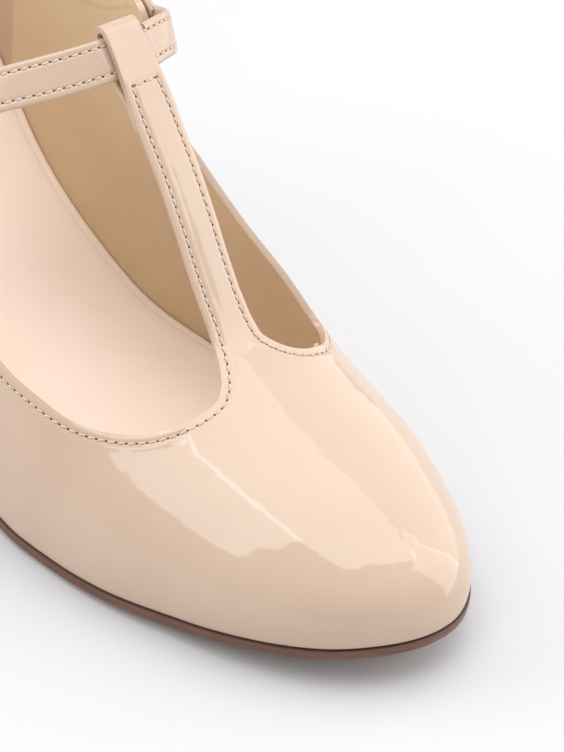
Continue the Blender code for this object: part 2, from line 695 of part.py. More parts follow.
def mesh_of_curve(item):
    """Turn a curve object into a mesh object of the same name, with its caps welded."""
    name, material = item.name, item.data.materials[0]
    graph = bpy.context.evaluated_depsgraph_get()
    mesh = bpy.data.meshes.new_from_object(item.evaluated_get(graph))
    form = bmesh.new()
    form.from_mesh(mesh)
    bmesh.ops.remove_doubles(form, verts=form.verts, dist=0.00001)
    form.to_mesh(mesh)
    form.free()
    collection, matrix = item.users_collection[0], item.matrix_world.copy()
    bpy.data.objects.remove(item)
    item = new_object(name, mesh, material, collection)
    item.matrix_world = matrix
    return item


def wire(name, points, radius, cyclic, material, collection):
    """A round wire through points, as a curve with its corners as given."""
    curve = bpy.data.curves.new(name, "CURVE")
    curve.dimensions = "3D"
    curve.bevel_depth = radius
    curve.bevel_resolution = 2
    curve.use_fill_caps = True
    spline = curve.splines.new("POLY")
    spline.points.add(len(points) - 1)
    for point, place_at in zip(spline.points, points):
        point.co = (*place_at, 1.0)
    spline.use_cyclic_u = cyclic
    curve.materials.append(material)
    item = bpy.data.objects.new(name, curve)
    collection.objects.link(item)
    return item


def rounded(width, height, radius, steps=3):
    """Corners of a rectangle about the origin, each one an arc."""
    points = []
    for cx, cy, start in ((1, 1, 0), (-1, 1, 90), (-1, -1, 180), (1, -1, 270)):
        for step in range(steps + 1):
            angle = math.radians(start + 90 * step / steps)
            points.append((cx * (width / 2 - radius) + radius * math.cos(angle),
                           cy * (height / 2 - radius) + radius * math.sin(angle)))
    return points


def flat_outline(name, outlines, depth, material, collection):
    """A flat shape with its holes, thickened to both sides, as a 2D curve."""
    curve = bpy.data.curves.new(name, "CURVE")
    curve.dimensions = "2D"
    curve.fill_mode = "BOTH"
    curve.extrude = depth / 2
    for points in outlines:
        spline = curve.splines.new("POLY")
        spline.points.add(len(points) - 1)
        for point, (x, y) in zip(spline.points, points):
            point.co = (x, y, 0.0, 1.0)
        spline.use_cyclic_u = True
    curve.materials.append(material)
    item = bpy.data.objects.new(name, curve)
    collection.objects.link(item)
    return item


def turn_mesh(item, matrix):
    """Turn an object's mesh about its own origin."""
    item.data.transform(matrix)
    item.data.update()


def cutter_box(name, size, centre, distance, cutters):
    """A box used only to cut, placed on the fastening's run."""
    mesh = bpy.data.meshes.new(name)
    form = bmesh.new()
    bmesh.ops.create_cube(form, size=1.0)
    bmesh.ops.scale(form, vec=Vector(size), verts=form.verts)
    bmesh.ops.translate(form, vec=Vector(centre), verts=form.verts)
    form.to_mesh(mesh)
    form.free()
    item = bpy.data.objects.new(name, mesh)
    cutters.objects.link(item)
    item.hide_render = True
    item.display_type = "WIRE"
    place(item, distance)
    return item


def boolean(item, other, operation):
    """Cut an object by another, or join them."""
    step = item.modifiers.new(other.name, "BOOLEAN")
    step.operation = operation
    step.solver = "EXACT"
    step.object = other


def bar_depth():
    """Depth of the buckle's middle bar under the strap's middle, and the tab's fold radius."""
    fold = BUCKLE_WIRE + GAP + TAB_THICKNESS / 2
    return STRAP_THICKNESS / 2 + GAP + fold, fold


def make_buckle(material, parts, cutters):
    """Frame with its middle bar, and the prong that turns on that bar."""
    _, buckle, _ = fastening_places()
    depth, fold = bar_depth()
    level = STRAP_THICKNESS / 2 + GAP + BUCKLE_WIRE
    half = STRAP_WIDTH / 2 + GAP + BUCKLE_WIRE
    ring = [(x, y, level) for x, y in rounded(2 * half, BUCKLE_LENGTH, BUCKLE_CORNER)]
    frame = mesh_of_curve(wire("buckle_frame", ring, BUCKLE_WIRE, True, material, parts))
    corner = BUCKLE_BEND
    legs = [(-half, 0, level), (-half, 0, -depth + corner), (-half + corner, 0, -depth),
            (half - corner, 0, -depth), (half, 0, -depth + corner), (half, 0, level)]
    bar = mesh_of_curve(wire("middle_bar", legs, BUCKLE_WIRE, False, material, cutters))
    bar.hide_render = True
    bar.display_type = "WIRE"
    place(frame, buckle)
    place(bar, buckle)
    boolean(frame, bar, "UNION")
    sleeve_in = BUCKLE_WIRE + GAP
    sleeve_out = fold - 0.0002
    circle = [(math.cos(a), math.sin(a)) for a in np.linspace(0, 2 * math.pi, 13)[:-1]]
    rings = [[(x * r, y * r) for x, y in circle] for r in (sleeve_out, sleeve_in)]
    sleeve = mesh_of_curve(flat_outline("buckle_prong", rings, PRONG_SLEEVE, material, parts))
    turn_mesh(sleeve, Matrix.Rotation(math.radians(90), 4, "Y"))
    turn_mesh(sleeve, Matrix.Translation((0, 0, -depth)))
    tip = level + BUCKLE_WIRE + GAP + PRONG_RADIUS
    rest = BUCKLE_LENGTH / 2
    path = [(0, 0.0002, -depth + (sleeve_in + sleeve_out) / 2), (0, 0.0010, -0.0003),
            (0, 0.0019, 0.0018), (0, 0.0036, tip - 0.0003), (0, rest, tip),
            (0, rest + 0.0012, tip - 0.0001)]
    pin = mesh_of_curve(wire("pin", path, PRONG_RADIUS, False, material, cutters))
    pin.hide_render = True
    pin.display_type = "WIRE"
    place(sleeve, buckle)
    place(pin, buckle)
    boolean(sleeve, pin, "UNION")
    return frame, sleeve


def make_tab(material, parts, cutters):
    """Tab sewn to the outer quarter: it folds round the buckle's middle bar."""
    _, buckle, _ = fastening_places()
    depth, fold = bar_depth()
    top = -(STRAP_THICKNESS / 2 + GAP)
    under = top - TAB_THICKNESS
    arc = [(buckle + fold * math.sin(a), -depth - fold * math.cos(a))
           for a in np.linspace(-0.35, math.pi, 10)]
    profile = [(TAB_START, under), (buckle - 3.2 * fold, under)] + arc + [(TAB_START, top)]
    inner = BUCKLE_WIRE + GAP
    hole = [(buckle + inner * math.cos(a), -depth + inner * math.sin(a))
            for a in np.linspace(0, 2 * math.pi, 13)[:-1]]
    tab = mesh_of_curve(flat_outline("outer_tab", [profile, hole], TAB_WIDTH, material, parts))
    turn_mesh(tab, Matrix(((0, 0, 1, 0), (1, 0, 0, 0), (0, 1, 0, 0), (0, 0, 0, 1))))
    place(tab, 0.0)
    slot = cutter_box("prong_slot", (PRONG_SLOT, 0.008, 0.012), (0, 0.004 - fold - GAP, -depth),
                      buckle, cutters)
    boolean(tab, slot, "DIFFERENCE")
    return tab


def make_keeper(material, parts):
    """Loop round the strap and the tab, which holds the strap's end."""
    keeper, _, _ = fastening_places()
    across = STRAP_WIDTH + 2 * GAP
    through = STRAP_THICKNESS + TAB_THICKNESS + 3 * GAP
    thick = 2 * KEEPER_THICKNESS
    outlines = [rounded(across + thick, through + thick, 0.0012, 2),
                rounded(across, through, 0.0002, 1)]
    item = mesh_of_curve(flat_outline("strap_keeper", outlines, KEEPER_WIDTH, material, parts))
    turn_mesh(item, Matrix.Rotation(math.radians(90), 4, "X"))
    turn_mesh(item, Matrix.Translation((0, 0, -(TAB_THICKNESS + GAP) / 2)))
    place(item, keeper)
    return item


def make_strap(material, parts, cutters):
    """Instep strap: sewn over the inner wing, through the bar's loop, down to the buckle."""
    line, across = strap_line()
    item = band("instep_strap", line, across, STRAP_WIDTH, STRAP_THICKNESS, material, parts)
    _, buckle, _ = fastening_places()
    hole = cutter_box("prong_hole", (BUCKLE_HOLE_WIDTH, BUCKLE_HOLE, 0.006), (0, 0.0011, 0),
                      buckle, cutters)
    boolean(item, hole, "DIFFERENCE")
    return item


def new_material(name, colour, roughness, metallic=0.0, coat=0.0):
    """Principled material with a plain colour."""
    material = bpy.data.materials.new(name)
    material.use_nodes = True
    shader = material.node_tree.nodes["Principled BSDF"]
    shader.inputs["Base Color"].default_value = (*colour, 1.0)
    shader.inputs["Roughness"].default_value = roughness
    shader.inputs["Metallic"].default_value = metallic
    shader.inputs["Coat Weight"].default_value = coat
    return material


def main():
    """Build the shoe."""
    for item in list(bpy.data.objects):
        bpy.data.objects.remove(item)
    parts = bpy.data.collections.new("t_strap_shoe")
    cutters = bpy.data.collections.new("cutters")
    for collection in (parts, cutters):
        bpy.context.scene.collection.children.link(collection)
    patent = new_material("patent", (0.79, 0.60, 0.49), 0.12, coat=1.0)
    soft = new_material("sock", (0.85, 0.66, 0.54), 0.55)
    sole = new_material("sole", (0.25, 0.12, 0.06), 0.45)
    rubber = new_material("rubber", (0.10, 0.07, 0.05), 0.7)
    metal = new_material("metal", (0.80, 0.66, 0.45), 0.25, metallic=1.0)
    make_outsole(sole, parts)
    make_insole(soft, parts)
    make_heel(patent, parts)
    make_top_piece(rubber, parts)
    make_upper(patent, parts)
    make_strap(patent, parts, cutters)
    make_tab(patent, parts, cutters)
    make_buckle(metal, parts, cutters)
    make_keeper(patent, parts)


main()
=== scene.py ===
# %% [markdown]
# # A T-bar court shoe, dressed
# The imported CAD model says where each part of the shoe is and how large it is. This lesson makes
# the shoe's finished surfaces around it: glossy patent leather with sewn edges, a matt lining, a
# soft insole, a brown sole and a small buckle. Everything is in metres, the toe points to -Y and
# the shoe stands on z = 0.

# %% Load the frame
import math

import bmesh
import bpy
import numpy as np
from mathutils import Matrix
from mathutils.bvhtree import BVHTree


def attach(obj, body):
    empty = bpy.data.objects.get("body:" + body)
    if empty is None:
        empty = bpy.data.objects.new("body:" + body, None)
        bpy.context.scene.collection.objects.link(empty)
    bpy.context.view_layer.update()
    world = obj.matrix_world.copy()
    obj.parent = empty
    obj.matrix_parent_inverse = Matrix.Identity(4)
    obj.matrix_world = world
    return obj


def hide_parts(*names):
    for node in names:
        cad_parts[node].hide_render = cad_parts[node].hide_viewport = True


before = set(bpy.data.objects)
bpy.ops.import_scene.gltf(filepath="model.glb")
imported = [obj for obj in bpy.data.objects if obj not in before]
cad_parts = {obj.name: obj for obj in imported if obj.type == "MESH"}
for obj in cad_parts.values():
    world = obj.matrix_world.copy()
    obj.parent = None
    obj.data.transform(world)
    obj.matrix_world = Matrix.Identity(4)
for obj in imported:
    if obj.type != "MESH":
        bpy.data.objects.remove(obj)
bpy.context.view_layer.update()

# %% [markdown]
# A shoe is drawn on its last, the wooden foot that the leather is pulled over. The sizes and the
# last's table are the ones that the CAD model was made from, so the finer surfaces here lie on
# the CAD surfaces.

# %% Sizes of the shoe
LENGTH = 0.242
BALL_WIDTH = 0.0777
INSTEP_HEIGHT = 0.106
HEEL_RISE = 0.0745
TOE_SPRING = 0.0085
SPRING_END = 0.30
SPRING_CURVE = 1.8
COUNTER_BULGE = 0.0022
WALL = 0.0014
GAP = 0.0003
BACK = LENGTH / 2 - COUNTER_BULGE
HEEL_CENTRE_SHARE = 0.885
SHOULDER_RISE = 0.52

BAR_WIDTH = 0.0104
TAIL_LENGTH = 0.0045
TAIL_STEP = 0.006
BAR_CENTRE = 0.071
OUTER_FLARE = 0.050
INNER_FLARE = 0.022
FLARE_CURVE = 1.15
BAR_FREE_SHARE = 0.292
STRAP_SHARE = 0.4185
BAR_CROWN = 0.0006
LOOP_WIDTH = 0.0084
LOOP_START = -0.014
LOOP_TAPER = 0.018
CROWN_FADE = 0.010
BAR_BEYOND = 0.02

STRAP_WIDTH = 0.0088
STRAP_THICKNESS = 0.0015
STRAP_SEAT = 0.0006
STRAP_WING_START = 0.590
STRAP_WING_END = 0.482
STRAP_LEAVE = (0.30, -1.0, 0.0)
STRAP_RISE = (-1.0, -0.30, 0.0)
STRAP_FALL = (-1.0, 0.20, -0.10)
STRAP_PULLS = ((1.25, 1.25), (1.5, 0.8))
STRAP_CLEAR = 0.001
WING_MARGIN = 0.0002

TAB_THICKNESS = 0.0022
TAB_WIDTH = 0.0076
TAB_SHARE = 0.545
TAB_PART = 0.72
TAB_LEAN = 0.55
TAB_START = -0.006
STRAP_END = 0.002
BUCKLE_WIRE = 0.0007
BUCKLE_LENGTH = 0.0125
BUCKLE_CORNER = 0.0020
BUCKLE_BEND = 0.0012
KEEPER_WIDTH = 0.0045
KEEPER_THICKNESS = 0.0011
KEEPER_CLEAR = 0.0015
KEEPER_CORNER = 0.0009
PRONG_RADIUS = 0.00055

OUTSOLE_THICKNESS = 0.0034
OUTSOLE_EDGE = 0.0004
INSOLE_THICKNESS = 0.0024
BREAST_SHARE = 0.775
HEEL_FOOT_LENGTH = 0.0235
HEEL_FOOT_WIDTH = 0.0225
HEEL_FOOT_SHIFT = 0.0035
TOP_PIECE_HEIGHT = 0.0052
FLOOR_TO_FEATHER = OUTSOLE_THICKNESS + GAP

# share, centre, half width, ridge_x (shares of BALL_WIDTH), height (share of INSTEP_HEIGHT),
# crown (how square the shoulder is), swell (share of BALL_WIDTH)
LAST = (
    (0.000, 0.066, 0.000, 0.066, 0.000, 0.64, 0.000),
    (0.020, 0.056, 0.160, 0.073, 0.108, 0.64, 0.015),
    (0.050, 0.046, 0.255, 0.073, 0.158, 0.64, 0.024),
    (0.100, 0.042, 0.350, 0.073, 0.218, 0.64, 0.033),
    (0.160, 0.040, 0.426, 0.073, 0.274, 0.65, 0.037),
    (0.240, 0.020, 0.485, 0.074, 0.346, 0.66, 0.037),
    (0.280, 0.011, 0.497, 0.075, 0.400, 0.63, 0.037),
    (0.320, 0.001, 0.500, 0.076, 0.480, 0.58, 0.037),
    (0.400, -0.024, 0.466, 0.078, 0.660, 0.46, 0.030),
    (0.500, -0.064, 0.372, 0.070, 0.850, 0.42, 0.030),
    (0.600, -0.072, 0.312, 0.040, 0.950, 0.42, 0.040),
    (0.720, -0.040, 0.308, 0.000, 1.000, 0.44, 0.055),
    (0.850, -0.012, 0.328, -0.010, 1.000, 0.46, 0.075),
    (1.000, -0.008, 0.330, -0.008, 1.000, 0.50, 0.095),
)
RISE = (
    (0.00, 0.000), (0.34, 0.000), (0.40, 0.030), (0.45, 0.095), (0.50, 0.200), (0.60, 0.490),
    (0.72, 0.830), (0.85, 0.975), (1.00, 1.020),
)
# share, run (share of the half section), out (share of BALL_WIDTH), up (share of INSTEP_HEIGHT)
OUTER_TOPLINE = (
    (0.233, 0.810, 0.000, 0.000), (0.238, 0.705, 0.000, 0.000), (0.254, 0.600, 0.000, 0.000),
    (0.280, 0.510, 0.000, 0.000), (0.309, 0.437, 0.000, 0.000), (0.343, 0.384, 0.000, 0.000),
    (0.389, 0.318, 0.000, 0.000), (0.450, 0.278, 0.000, 0.000), (0.520, 0.262, 0.008, 0.000),
    (0.600, 0.252, 0.014, 0.000), (0.720, 0.265, 0.010, 0.000), (0.850, 0.320, 0.000, 0.000),
    (1.000, 0.375, 0.000, 0.000),
)
INNER_TOPLINE = (
    (0.242, 0.780, 0.000, 0.000), (0.256, 0.610, 0.004, 0.000), (0.290, 0.505, 0.012, 0.000),
    (0.351, 0.500, 0.022, 0.000), (0.381, 0.508, 0.020, 0.000), (0.414, 0.520, 0.020, 0.000),
    (0.440, 0.555, 0.012, 0.000), (0.462, 0.620, 0.030, 0.008), (0.478, 0.655, 0.076, 0.020),
    (0.500, 0.600, 0.084, 0.014), (0.530, 0.480, 0.070, 0.006), (0.565, 0.385, 0.055, 0.000),
    (0.600, 0.330, 0.045, 0.000), (0.660, 0.280, 0.030, 0.000), (0.720, 0.262, 0.020, 0.000),
    (0.850, 0.320, 0.000, 0.000), (1.000, 0.375, 0.000, 0.000),
)
OUTER_TIP, INNER_TIP = OUTER_TOPLINE[0][0], INNER_TOPLINE[0][0]
BAR_LINE = (
    (0.262, 0.376), (0.282, 0.414), (0.305, 0.488), (0.324, 0.560), (0.348, 0.645),
    (0.369, 0.710), (0.400, 0.800), (0.417, 0.846), (0.440, 0.905),
)
print("last table:", len(LAST), "stations")

# %% [markdown]
# Every curve below reads a table of a few rows. A cubic that never overshoots its rows keeps a
# drawn shape free of ripples, which matters on patent leather: a ripple that is too small
# to see in the shape is plain to see in its reflections.

# %% Curves through tables


def smooth(x, table, column):
    """One column of a table at x.

    Between two rows the value is a cubic. Its slope at a row is the harmonic mean of the slopes
    on either side, or zero where they differ in sign, so the curve has no overshoot.
    """
    rows = np.array(table, float)
    xs, ys = rows[:, 0], rows[:, column]
    step = np.diff(xs)
    slope = np.diff(ys) / step
    tangent = np.zeros_like(ys)
    same = slope[:-1] * slope[1:] > 0
    total = np.where(same, slope[:-1] + slope[1:], 1)
    tangent[1:-1] = np.where(same, 2 * slope[:-1] * slope[1:] / total, 0)
    tangent[0], tangent[-1] = slope[0], slope[-1]
    x = np.clip(np.asarray(x, float), xs[0], xs[-1])
    k = np.clip(np.searchsorted(xs, x, side="right") - 1, 0, len(step) - 1)
    t, h = (x - xs[k]) / step[k], step[k]
    ends = (1 + 2 * t) * (1 - t) ** 2 * ys[k] + t * t * (3 - 2 * t) * ys[k + 1]
    return ends + t * (1 - t) ** 2 * h * tangent[k] + t * t * (t - 1) * h * tangent[k + 1]


def by_root(x, table, column, start=0.0):
    """A table read along the square root of x - start, which rounds the curve at its start."""
    rows = [(math.sqrt(row[0] - start),) + tuple(row[1:]) for row in table]
    return smooth(np.sqrt(np.clip(np.asarray(x, float) - start, 0, 1)), rows, column)


def ease(t):
    """A step from 0 to 1 with level ends: three t squared less two t cubed."""
    t = np.clip(t, 0, 1)
    return t * t * (3 - 2 * t)


def unit(vectors):
    """Vectors brought to length one, along the last axis."""
    vectors = np.asarray(vectors, float)
    return vectors / np.maximum(np.linalg.norm(vectors, axis=-1, keepdims=True), 1e-12)


def distances(line):
    """Distance from a line's start to each of its points: the running sum of its steps."""
    steps = np.linalg.norm(np.diff(line, axis=0), axis=1)
    return np.concatenate([[0], np.cumsum(steps)])


print("width of the last at the ball:", float(by_root(0.32, LAST, 2)) * 2 * BALL_WIDTH)

# %% [markdown]
# The last is a function of two parameters: the share of the length from the toe, and the run
# from the feather edge, where the upper meets the sole, up to the ridge. Round the heel the half
# sections turn about an upright line, so one function also closes the back.

# %% The last


def feather_height(share):
    """Height of the feather edge: toe spring, the flat ball, then the rise to the heel."""
    spring = TOE_SPRING * np.clip(1 - np.asarray(share) / SPRING_END, 0, 1) ** SPRING_CURVE
    return FLOOR_TO_FEATHER + spring + HEEL_RISE * smooth(share, RISE, 1)


def half_section(share, side):
    """Origin, outward direction, half width and true share of the half sections."""
    share = np.asarray(share, float)
    behind_share = 1 - HEEL_CENTRE_SHARE
    turn = np.clip((share - HEEL_CENTRE_SHARE) / behind_share, 0, 1) * math.pi / 2
    length = LENGTH / 2 + BACK
    base = np.minimum(share, HEEL_CENTRE_SHARE)
    origin_x = BALL_WIDTH * by_root(base, LAST, 1)
    origin_y = -LENGTH / 2 + base * length
    across = BALL_WIDTH * by_root(base, LAST, 2)
    behind = behind_share * length
    squares = (np.cos(turn) / np.maximum(across, 1e-9)) ** 2 + (np.sin(turn) / behind) ** 2
    half = np.where(turn > 0, 1 / np.sqrt(squares), across)
    direction = np.stack([side * np.cos(turn), np.sin(turn)], -1)
    true_share = (origin_y + direction[..., 1] * half + LENGTH / 2) / length
    return origin_x, origin_y, direction, half, true_share


def last_point(share, side, run):
    """Point of the last: a cubic in run from the feather edge, up and over to the ridge."""
    share, run = np.broadcast_arrays(np.asarray(share, float), np.asarray(run, float))
    origin_x, origin_y, direction, half, true_share = half_section(share, side)
    height = INSTEP_HEIGHT * by_root(share, LAST, 4)
    ridge = (BALL_WIDTH * by_root(share, LAST, 3) - origin_x) * side * np.abs(direction[..., 0])
    crown = by_root(share, LAST, 5)
    swell = BALL_WIDTH * by_root(share, LAST, 6)
    a, b, c, d = (1 - run) ** 3, 3 * (1 - run) ** 2 * run, 3 * (1 - run) * run ** 2, run ** 3
    radius = a * half + b * (half + swell) + c * (ridge + (half - ridge) * crown) + d * ridge
    rise = b * SHOULDER_RISE * height + (c + d) * height
    x = origin_x + direction[..., 0] * radius
    y = origin_y + direction[..., 1] * radius
    return np.stack([x, y, feather_height(true_share) + rise], -1)


def wall_point(share, side, part):
    """Point of a side wall: part 0 is the feather edge and 1 is the topline."""
    share, part = np.broadcast_arrays(np.asarray(share, float), np.asarray(part, float))
    table = INNER_TOPLINE if side > 0 else OUTER_TOPLINE
    run, out, up = (by_root(share, table, column, table[0][0]) for column in (1, 2, 3))
    push = np.stack([side * out * BALL_WIDTH, np.zeros_like(out), up * INSTEP_HEIGHT], -1)
    return last_point(share, side, run * part) + push * (part ** 2)[..., None]


def over_last(share, x, lowest_run=0.30):
    """Points of the last's upper part at one station, straight above each given x."""
    runs = np.linspace(lowest_run, 1, 300)
    line = np.concatenate([last_point(share, -1, runs), last_point(share, 1, runs)[-2::-1]])
    return np.stack([np.interp(x, line[:, 0], line[:, i]) for i in range(3)], -1)


print("instep ridge in mm:", np.round(1000 * last_point(0.5, 1, 1.0), 1))

# %% [markdown]
# The T-bar grows out of the vamp, stands clear of the foot as a flat strip, goes over the instep
# strap and comes down again behind itself as a loop. Its middle line lies in an upright plane,
# so the strip is that line carried across the bar's width.

# %% The T-bar


def bar_line(share):
    """Middle of the bar as y and z."""
    y = -LENGTH / 2 + np.asarray(share) * (LENGTH / 2 + BACK)
    return np.stack([y, FLOOR_TO_FEATHER + INSTEP_HEIGHT * smooth(share, BAR_LINE, 1)], -1)


BAR_LOW, BAR_CROSSING = bar_line(np.array([STRAP_SHARE - 0.01, STRAP_SHARE]))
BAR_UP = unit(BAR_CROSSING - BAR_LOW)
BAR_OUT = np.array([-BAR_UP[1], BAR_UP[0]])
BAR_START = -float(np.linalg.norm(bar_line(STRAP_SHARE) - bar_line(BAR_FREE_SHARE)))
UP_REACH = np.linspace(BAR_START, STRAP_WIDTH / 2, 90)


def bar_offset(reach, depth):
    """Points beside the bar's line: reach along it from the strap, depth in towards the foot."""
    reach, depth = np.broadcast_arrays(np.asarray(reach, float), np.asarray(depth, float))
    line = bar_line(np.linspace(INNER_TIP, STRAP_SHARE, 400))
    back = distances(line)
    back = np.append(back - back[-1], BAR_BEYOND)
    line = np.concatenate([line, [BAR_CROSSING + BAR_UP * BAR_BEYOND]])
    tangent = np.gradient(line, back, axis=0)
    point = np.stack([np.interp(reach, back, line[:, i]) for i in (0, 1)], -1)
    along = unit(np.stack([np.interp(reach, back, tangent[:, i]) for i in (0, 1)], -1))
    return point - depth[..., None] * np.stack([-along[..., 1], along[..., 0]], -1)


def bar_crown(reach):
    """Droop of the bar's edges: none near the strap, where the loop lies flat."""
    return BAR_CROWN * np.clip((-np.asarray(reach) - STRAP_WIDTH / 2) / CROWN_FADE, 0, 1)


def bar_half(reach):
    """Half the bar's width: full along the foot, drawn in to the loop's width over the strap."""
    drawn = ease((np.asarray(reach) - LOOP_START) / LOOP_TAPER)
    return (BAR_WIDTH + (LOOP_WIDTH - BAR_WIDTH) * drawn) / 2


def loop_line():
    """The free bar, its fold over the strap and its tail, as points and droops of the edges."""
    fold = STRAP_WIDTH / 2
    depth = 2 * GAP + STRAP_THICKNESS + 2 * WALL
    lower = -(fold + GAP)
    tail_depth = 2 * WALL + GAP
    angle = np.linspace(0, math.pi, 26)[1:, None]
    turn = bar_offset(fold, depth / 2) + depth / 2 * (
        BAR_OUT * np.cos(angle) + BAR_UP * np.sin(angle))
    down = bar_offset(np.linspace(fold, lower, 20)[1:], depth)
    part = np.linspace(0, 1, 14)[1:]
    step = bar_offset(lower - TAIL_STEP * part, depth + (tail_depth - depth) * ease(part))
    tail_reach = lower - TAIL_STEP - TAIL_LENGTH * part
    tail = bar_offset(tail_reach, tail_depth)
    flat = np.zeros(len(turn) + len(down))
    points = np.concatenate([bar_offset(UP_REACH, 0.0), turn, down, step, tail])
    crowns = np.concatenate([bar_crown(UP_REACH), flat, -bar_crown(lower - TAIL_STEP * part),
                             -bar_crown(tail_reach)])
    folded = np.full(len(points) - len(UP_REACH), LOOP_WIDTH / 2)
    halves = np.concatenate([bar_half(UP_REACH), folded])
    return points, crowns, halves


def bar_edges(share):
    """x of the bar's two edges on the vamp, where its root flares into the throat."""
    centre, half = BAR_CENTRE * BALL_WIDTH, BAR_WIDTH / 2
    edges = []
    for side, tip, flare in ((-1, OUTER_TIP, OUTER_FLARE), (1, INNER_TIP, INNER_FLARE)):
        fold = wall_point(np.minimum(share, tip), side, 1.0)[..., 0]
        narrow = centre + side * half
        left = np.clip(1 - np.sqrt(np.clip(share - tip, 0, 1) / flare), 0, 1)
        edges.append(narrow + (fold - narrow) * left ** FLARE_CURVE)
    return edges


points, crowns, halves = loop_line()
print("loop line:", len(points), "points,", round(1000 * float(points[:, 1].max()), 1), "mm high")

# %% [markdown]
# A mesh is a list of points and a list of faces. On a grid both come from one array operation,
# and grids that meet are welded where their points coincide.

# %% From grids to a mesh


def grid_faces(rows, columns, base=0):
    """Quads of a grid: each joins a point, its neighbours in the row and in the next row."""
    index = base + np.arange(rows * columns).reshape(rows, columns)
    corners = (index[:-1, :-1], index[:-1, 1:], index[1:, 1:], index[1:, :-1])
    return np.stack(corners, -1).reshape(-1, 4)


def weld(mesh, distance=0.00001, outward=False):
    """Merge points closer than a distance, and turn the faces of a closed mesh outwards."""
    form = bmesh.new()
    form.from_mesh(mesh)
    bmesh.ops.remove_doubles(form, verts=form.verts, dist=distance)
    bmesh.ops.dissolve_degenerate(form, edges=form.edges, dist=distance / 2)
    if outward:
        bmesh.ops.recalc_face_normals(form, faces=form.faces)
    form.to_mesh(mesh)
    form.free()


def piece(name, grids, paints, outward=False, distance=0.00001):
    """An object made of grids. Each entry is a grid, or a grid with the paint number of its faces."""
    points, faces, numbers, base = [], [], [], 0
    for entry in grids:
        grid, number = entry if isinstance(entry, tuple) else (entry, 0)
        rows, columns = grid.shape[:2]
        points.append(grid.reshape(-1, 3))
        faces.append(grid_faces(rows, columns, base))
        numbers.append(np.broadcast_to(number, (rows - 1, columns - 1)).ravel())
        base += rows * columns
    mesh = bpy.data.meshes.new(name)
    mesh.from_pydata(np.concatenate(points).tolist(), [], np.concatenate(faces).tolist())
    mesh.polygons.foreach_set("material_index", np.concatenate(numbers).astype(np.int32))
    weld(mesh, distance, outward)
    mesh.polygons.foreach_set("use_smooth", np.ones(len(mesh.polygons), bool))
    item = bpy.data.objects.new(name, mesh)
    bpy.context.scene.collection.objects.link(item)
    for paint in paints:
        mesh.materials.append(paint)
    return item


def vertices(mesh):
    """Points and normals of a mesh as two arrays."""
    found = []
    for source, key in ((mesh.vertices, "co"), (mesh.vertex_normals, "vector")):
        values = np.empty(len(source) * 3, np.float32)
        source.foreach_get(key, values)
        found.append(values.reshape(-1, 3).astype(float))
    return found


def nearest(points, line, block=4000):
    """Distance from each point to the nearest point of a line, in blocks to spare memory."""
    found = np.empty(len(points))
    for start in range(0, len(points), block):
        part = points[start:start + block, None, :] - line[None, :, :]
        found[start:start + block] = np.sqrt((part ** 2).sum(-1).min(1))
    return found


def resample(line, step):
    """A line at equal distances, as near to the step as its length allows.

    The first three columns are the points, and any others are carried along with them.
    """
    length = distances(line[:, :3])
    count = max(2, int(round(length[-1] / step)) + 1)
    at = np.linspace(0, length[-1], count)
    return np.stack([np.interp(at, length, line[:, i]) for i in range(line.shape[1])], -1)


# %% [markdown]
# Materials are written as sums. A socket wrapped in a small class can be added and multiplied in
# Python, and each operation adds its Math node. Colours go through Mix nodes, because a Math
# node would turn them grey.

# %% Paint helpers


class Flow:
    """A value that flows out of a node; sums and products of flows add Math nodes."""

    def __init__(self, paint, socket):
        self.paint, self.socket = paint, socket

    def do(self, operation, *others):
        inputs = {0: self}
        inputs.update({place + 1: other for place, other in enumerate(others)})
        return self.paint.add("ShaderNodeMath", {"operation": operation}, inputs)

    def __add__(self, other):
        return self.do("ADD", other)

    def __mul__(self, other):
        return self.do("MULTIPLY", other)

    def __rsub__(self, other):
        return self.paint.add("ShaderNodeMath", {"operation": "SUBTRACT"}, {0: other, 1: self})

    __radd__, __rmul__ = __add__, __mul__

    def band(self, low, high):
        """0 below low and 1 above high, with an eased step between them."""
        settings = {"interpolation_type": "SMOOTHSTEP"}
        return self.paint.add("ShaderNodeMapRange", settings, {0: self, 1: low, 2: high})


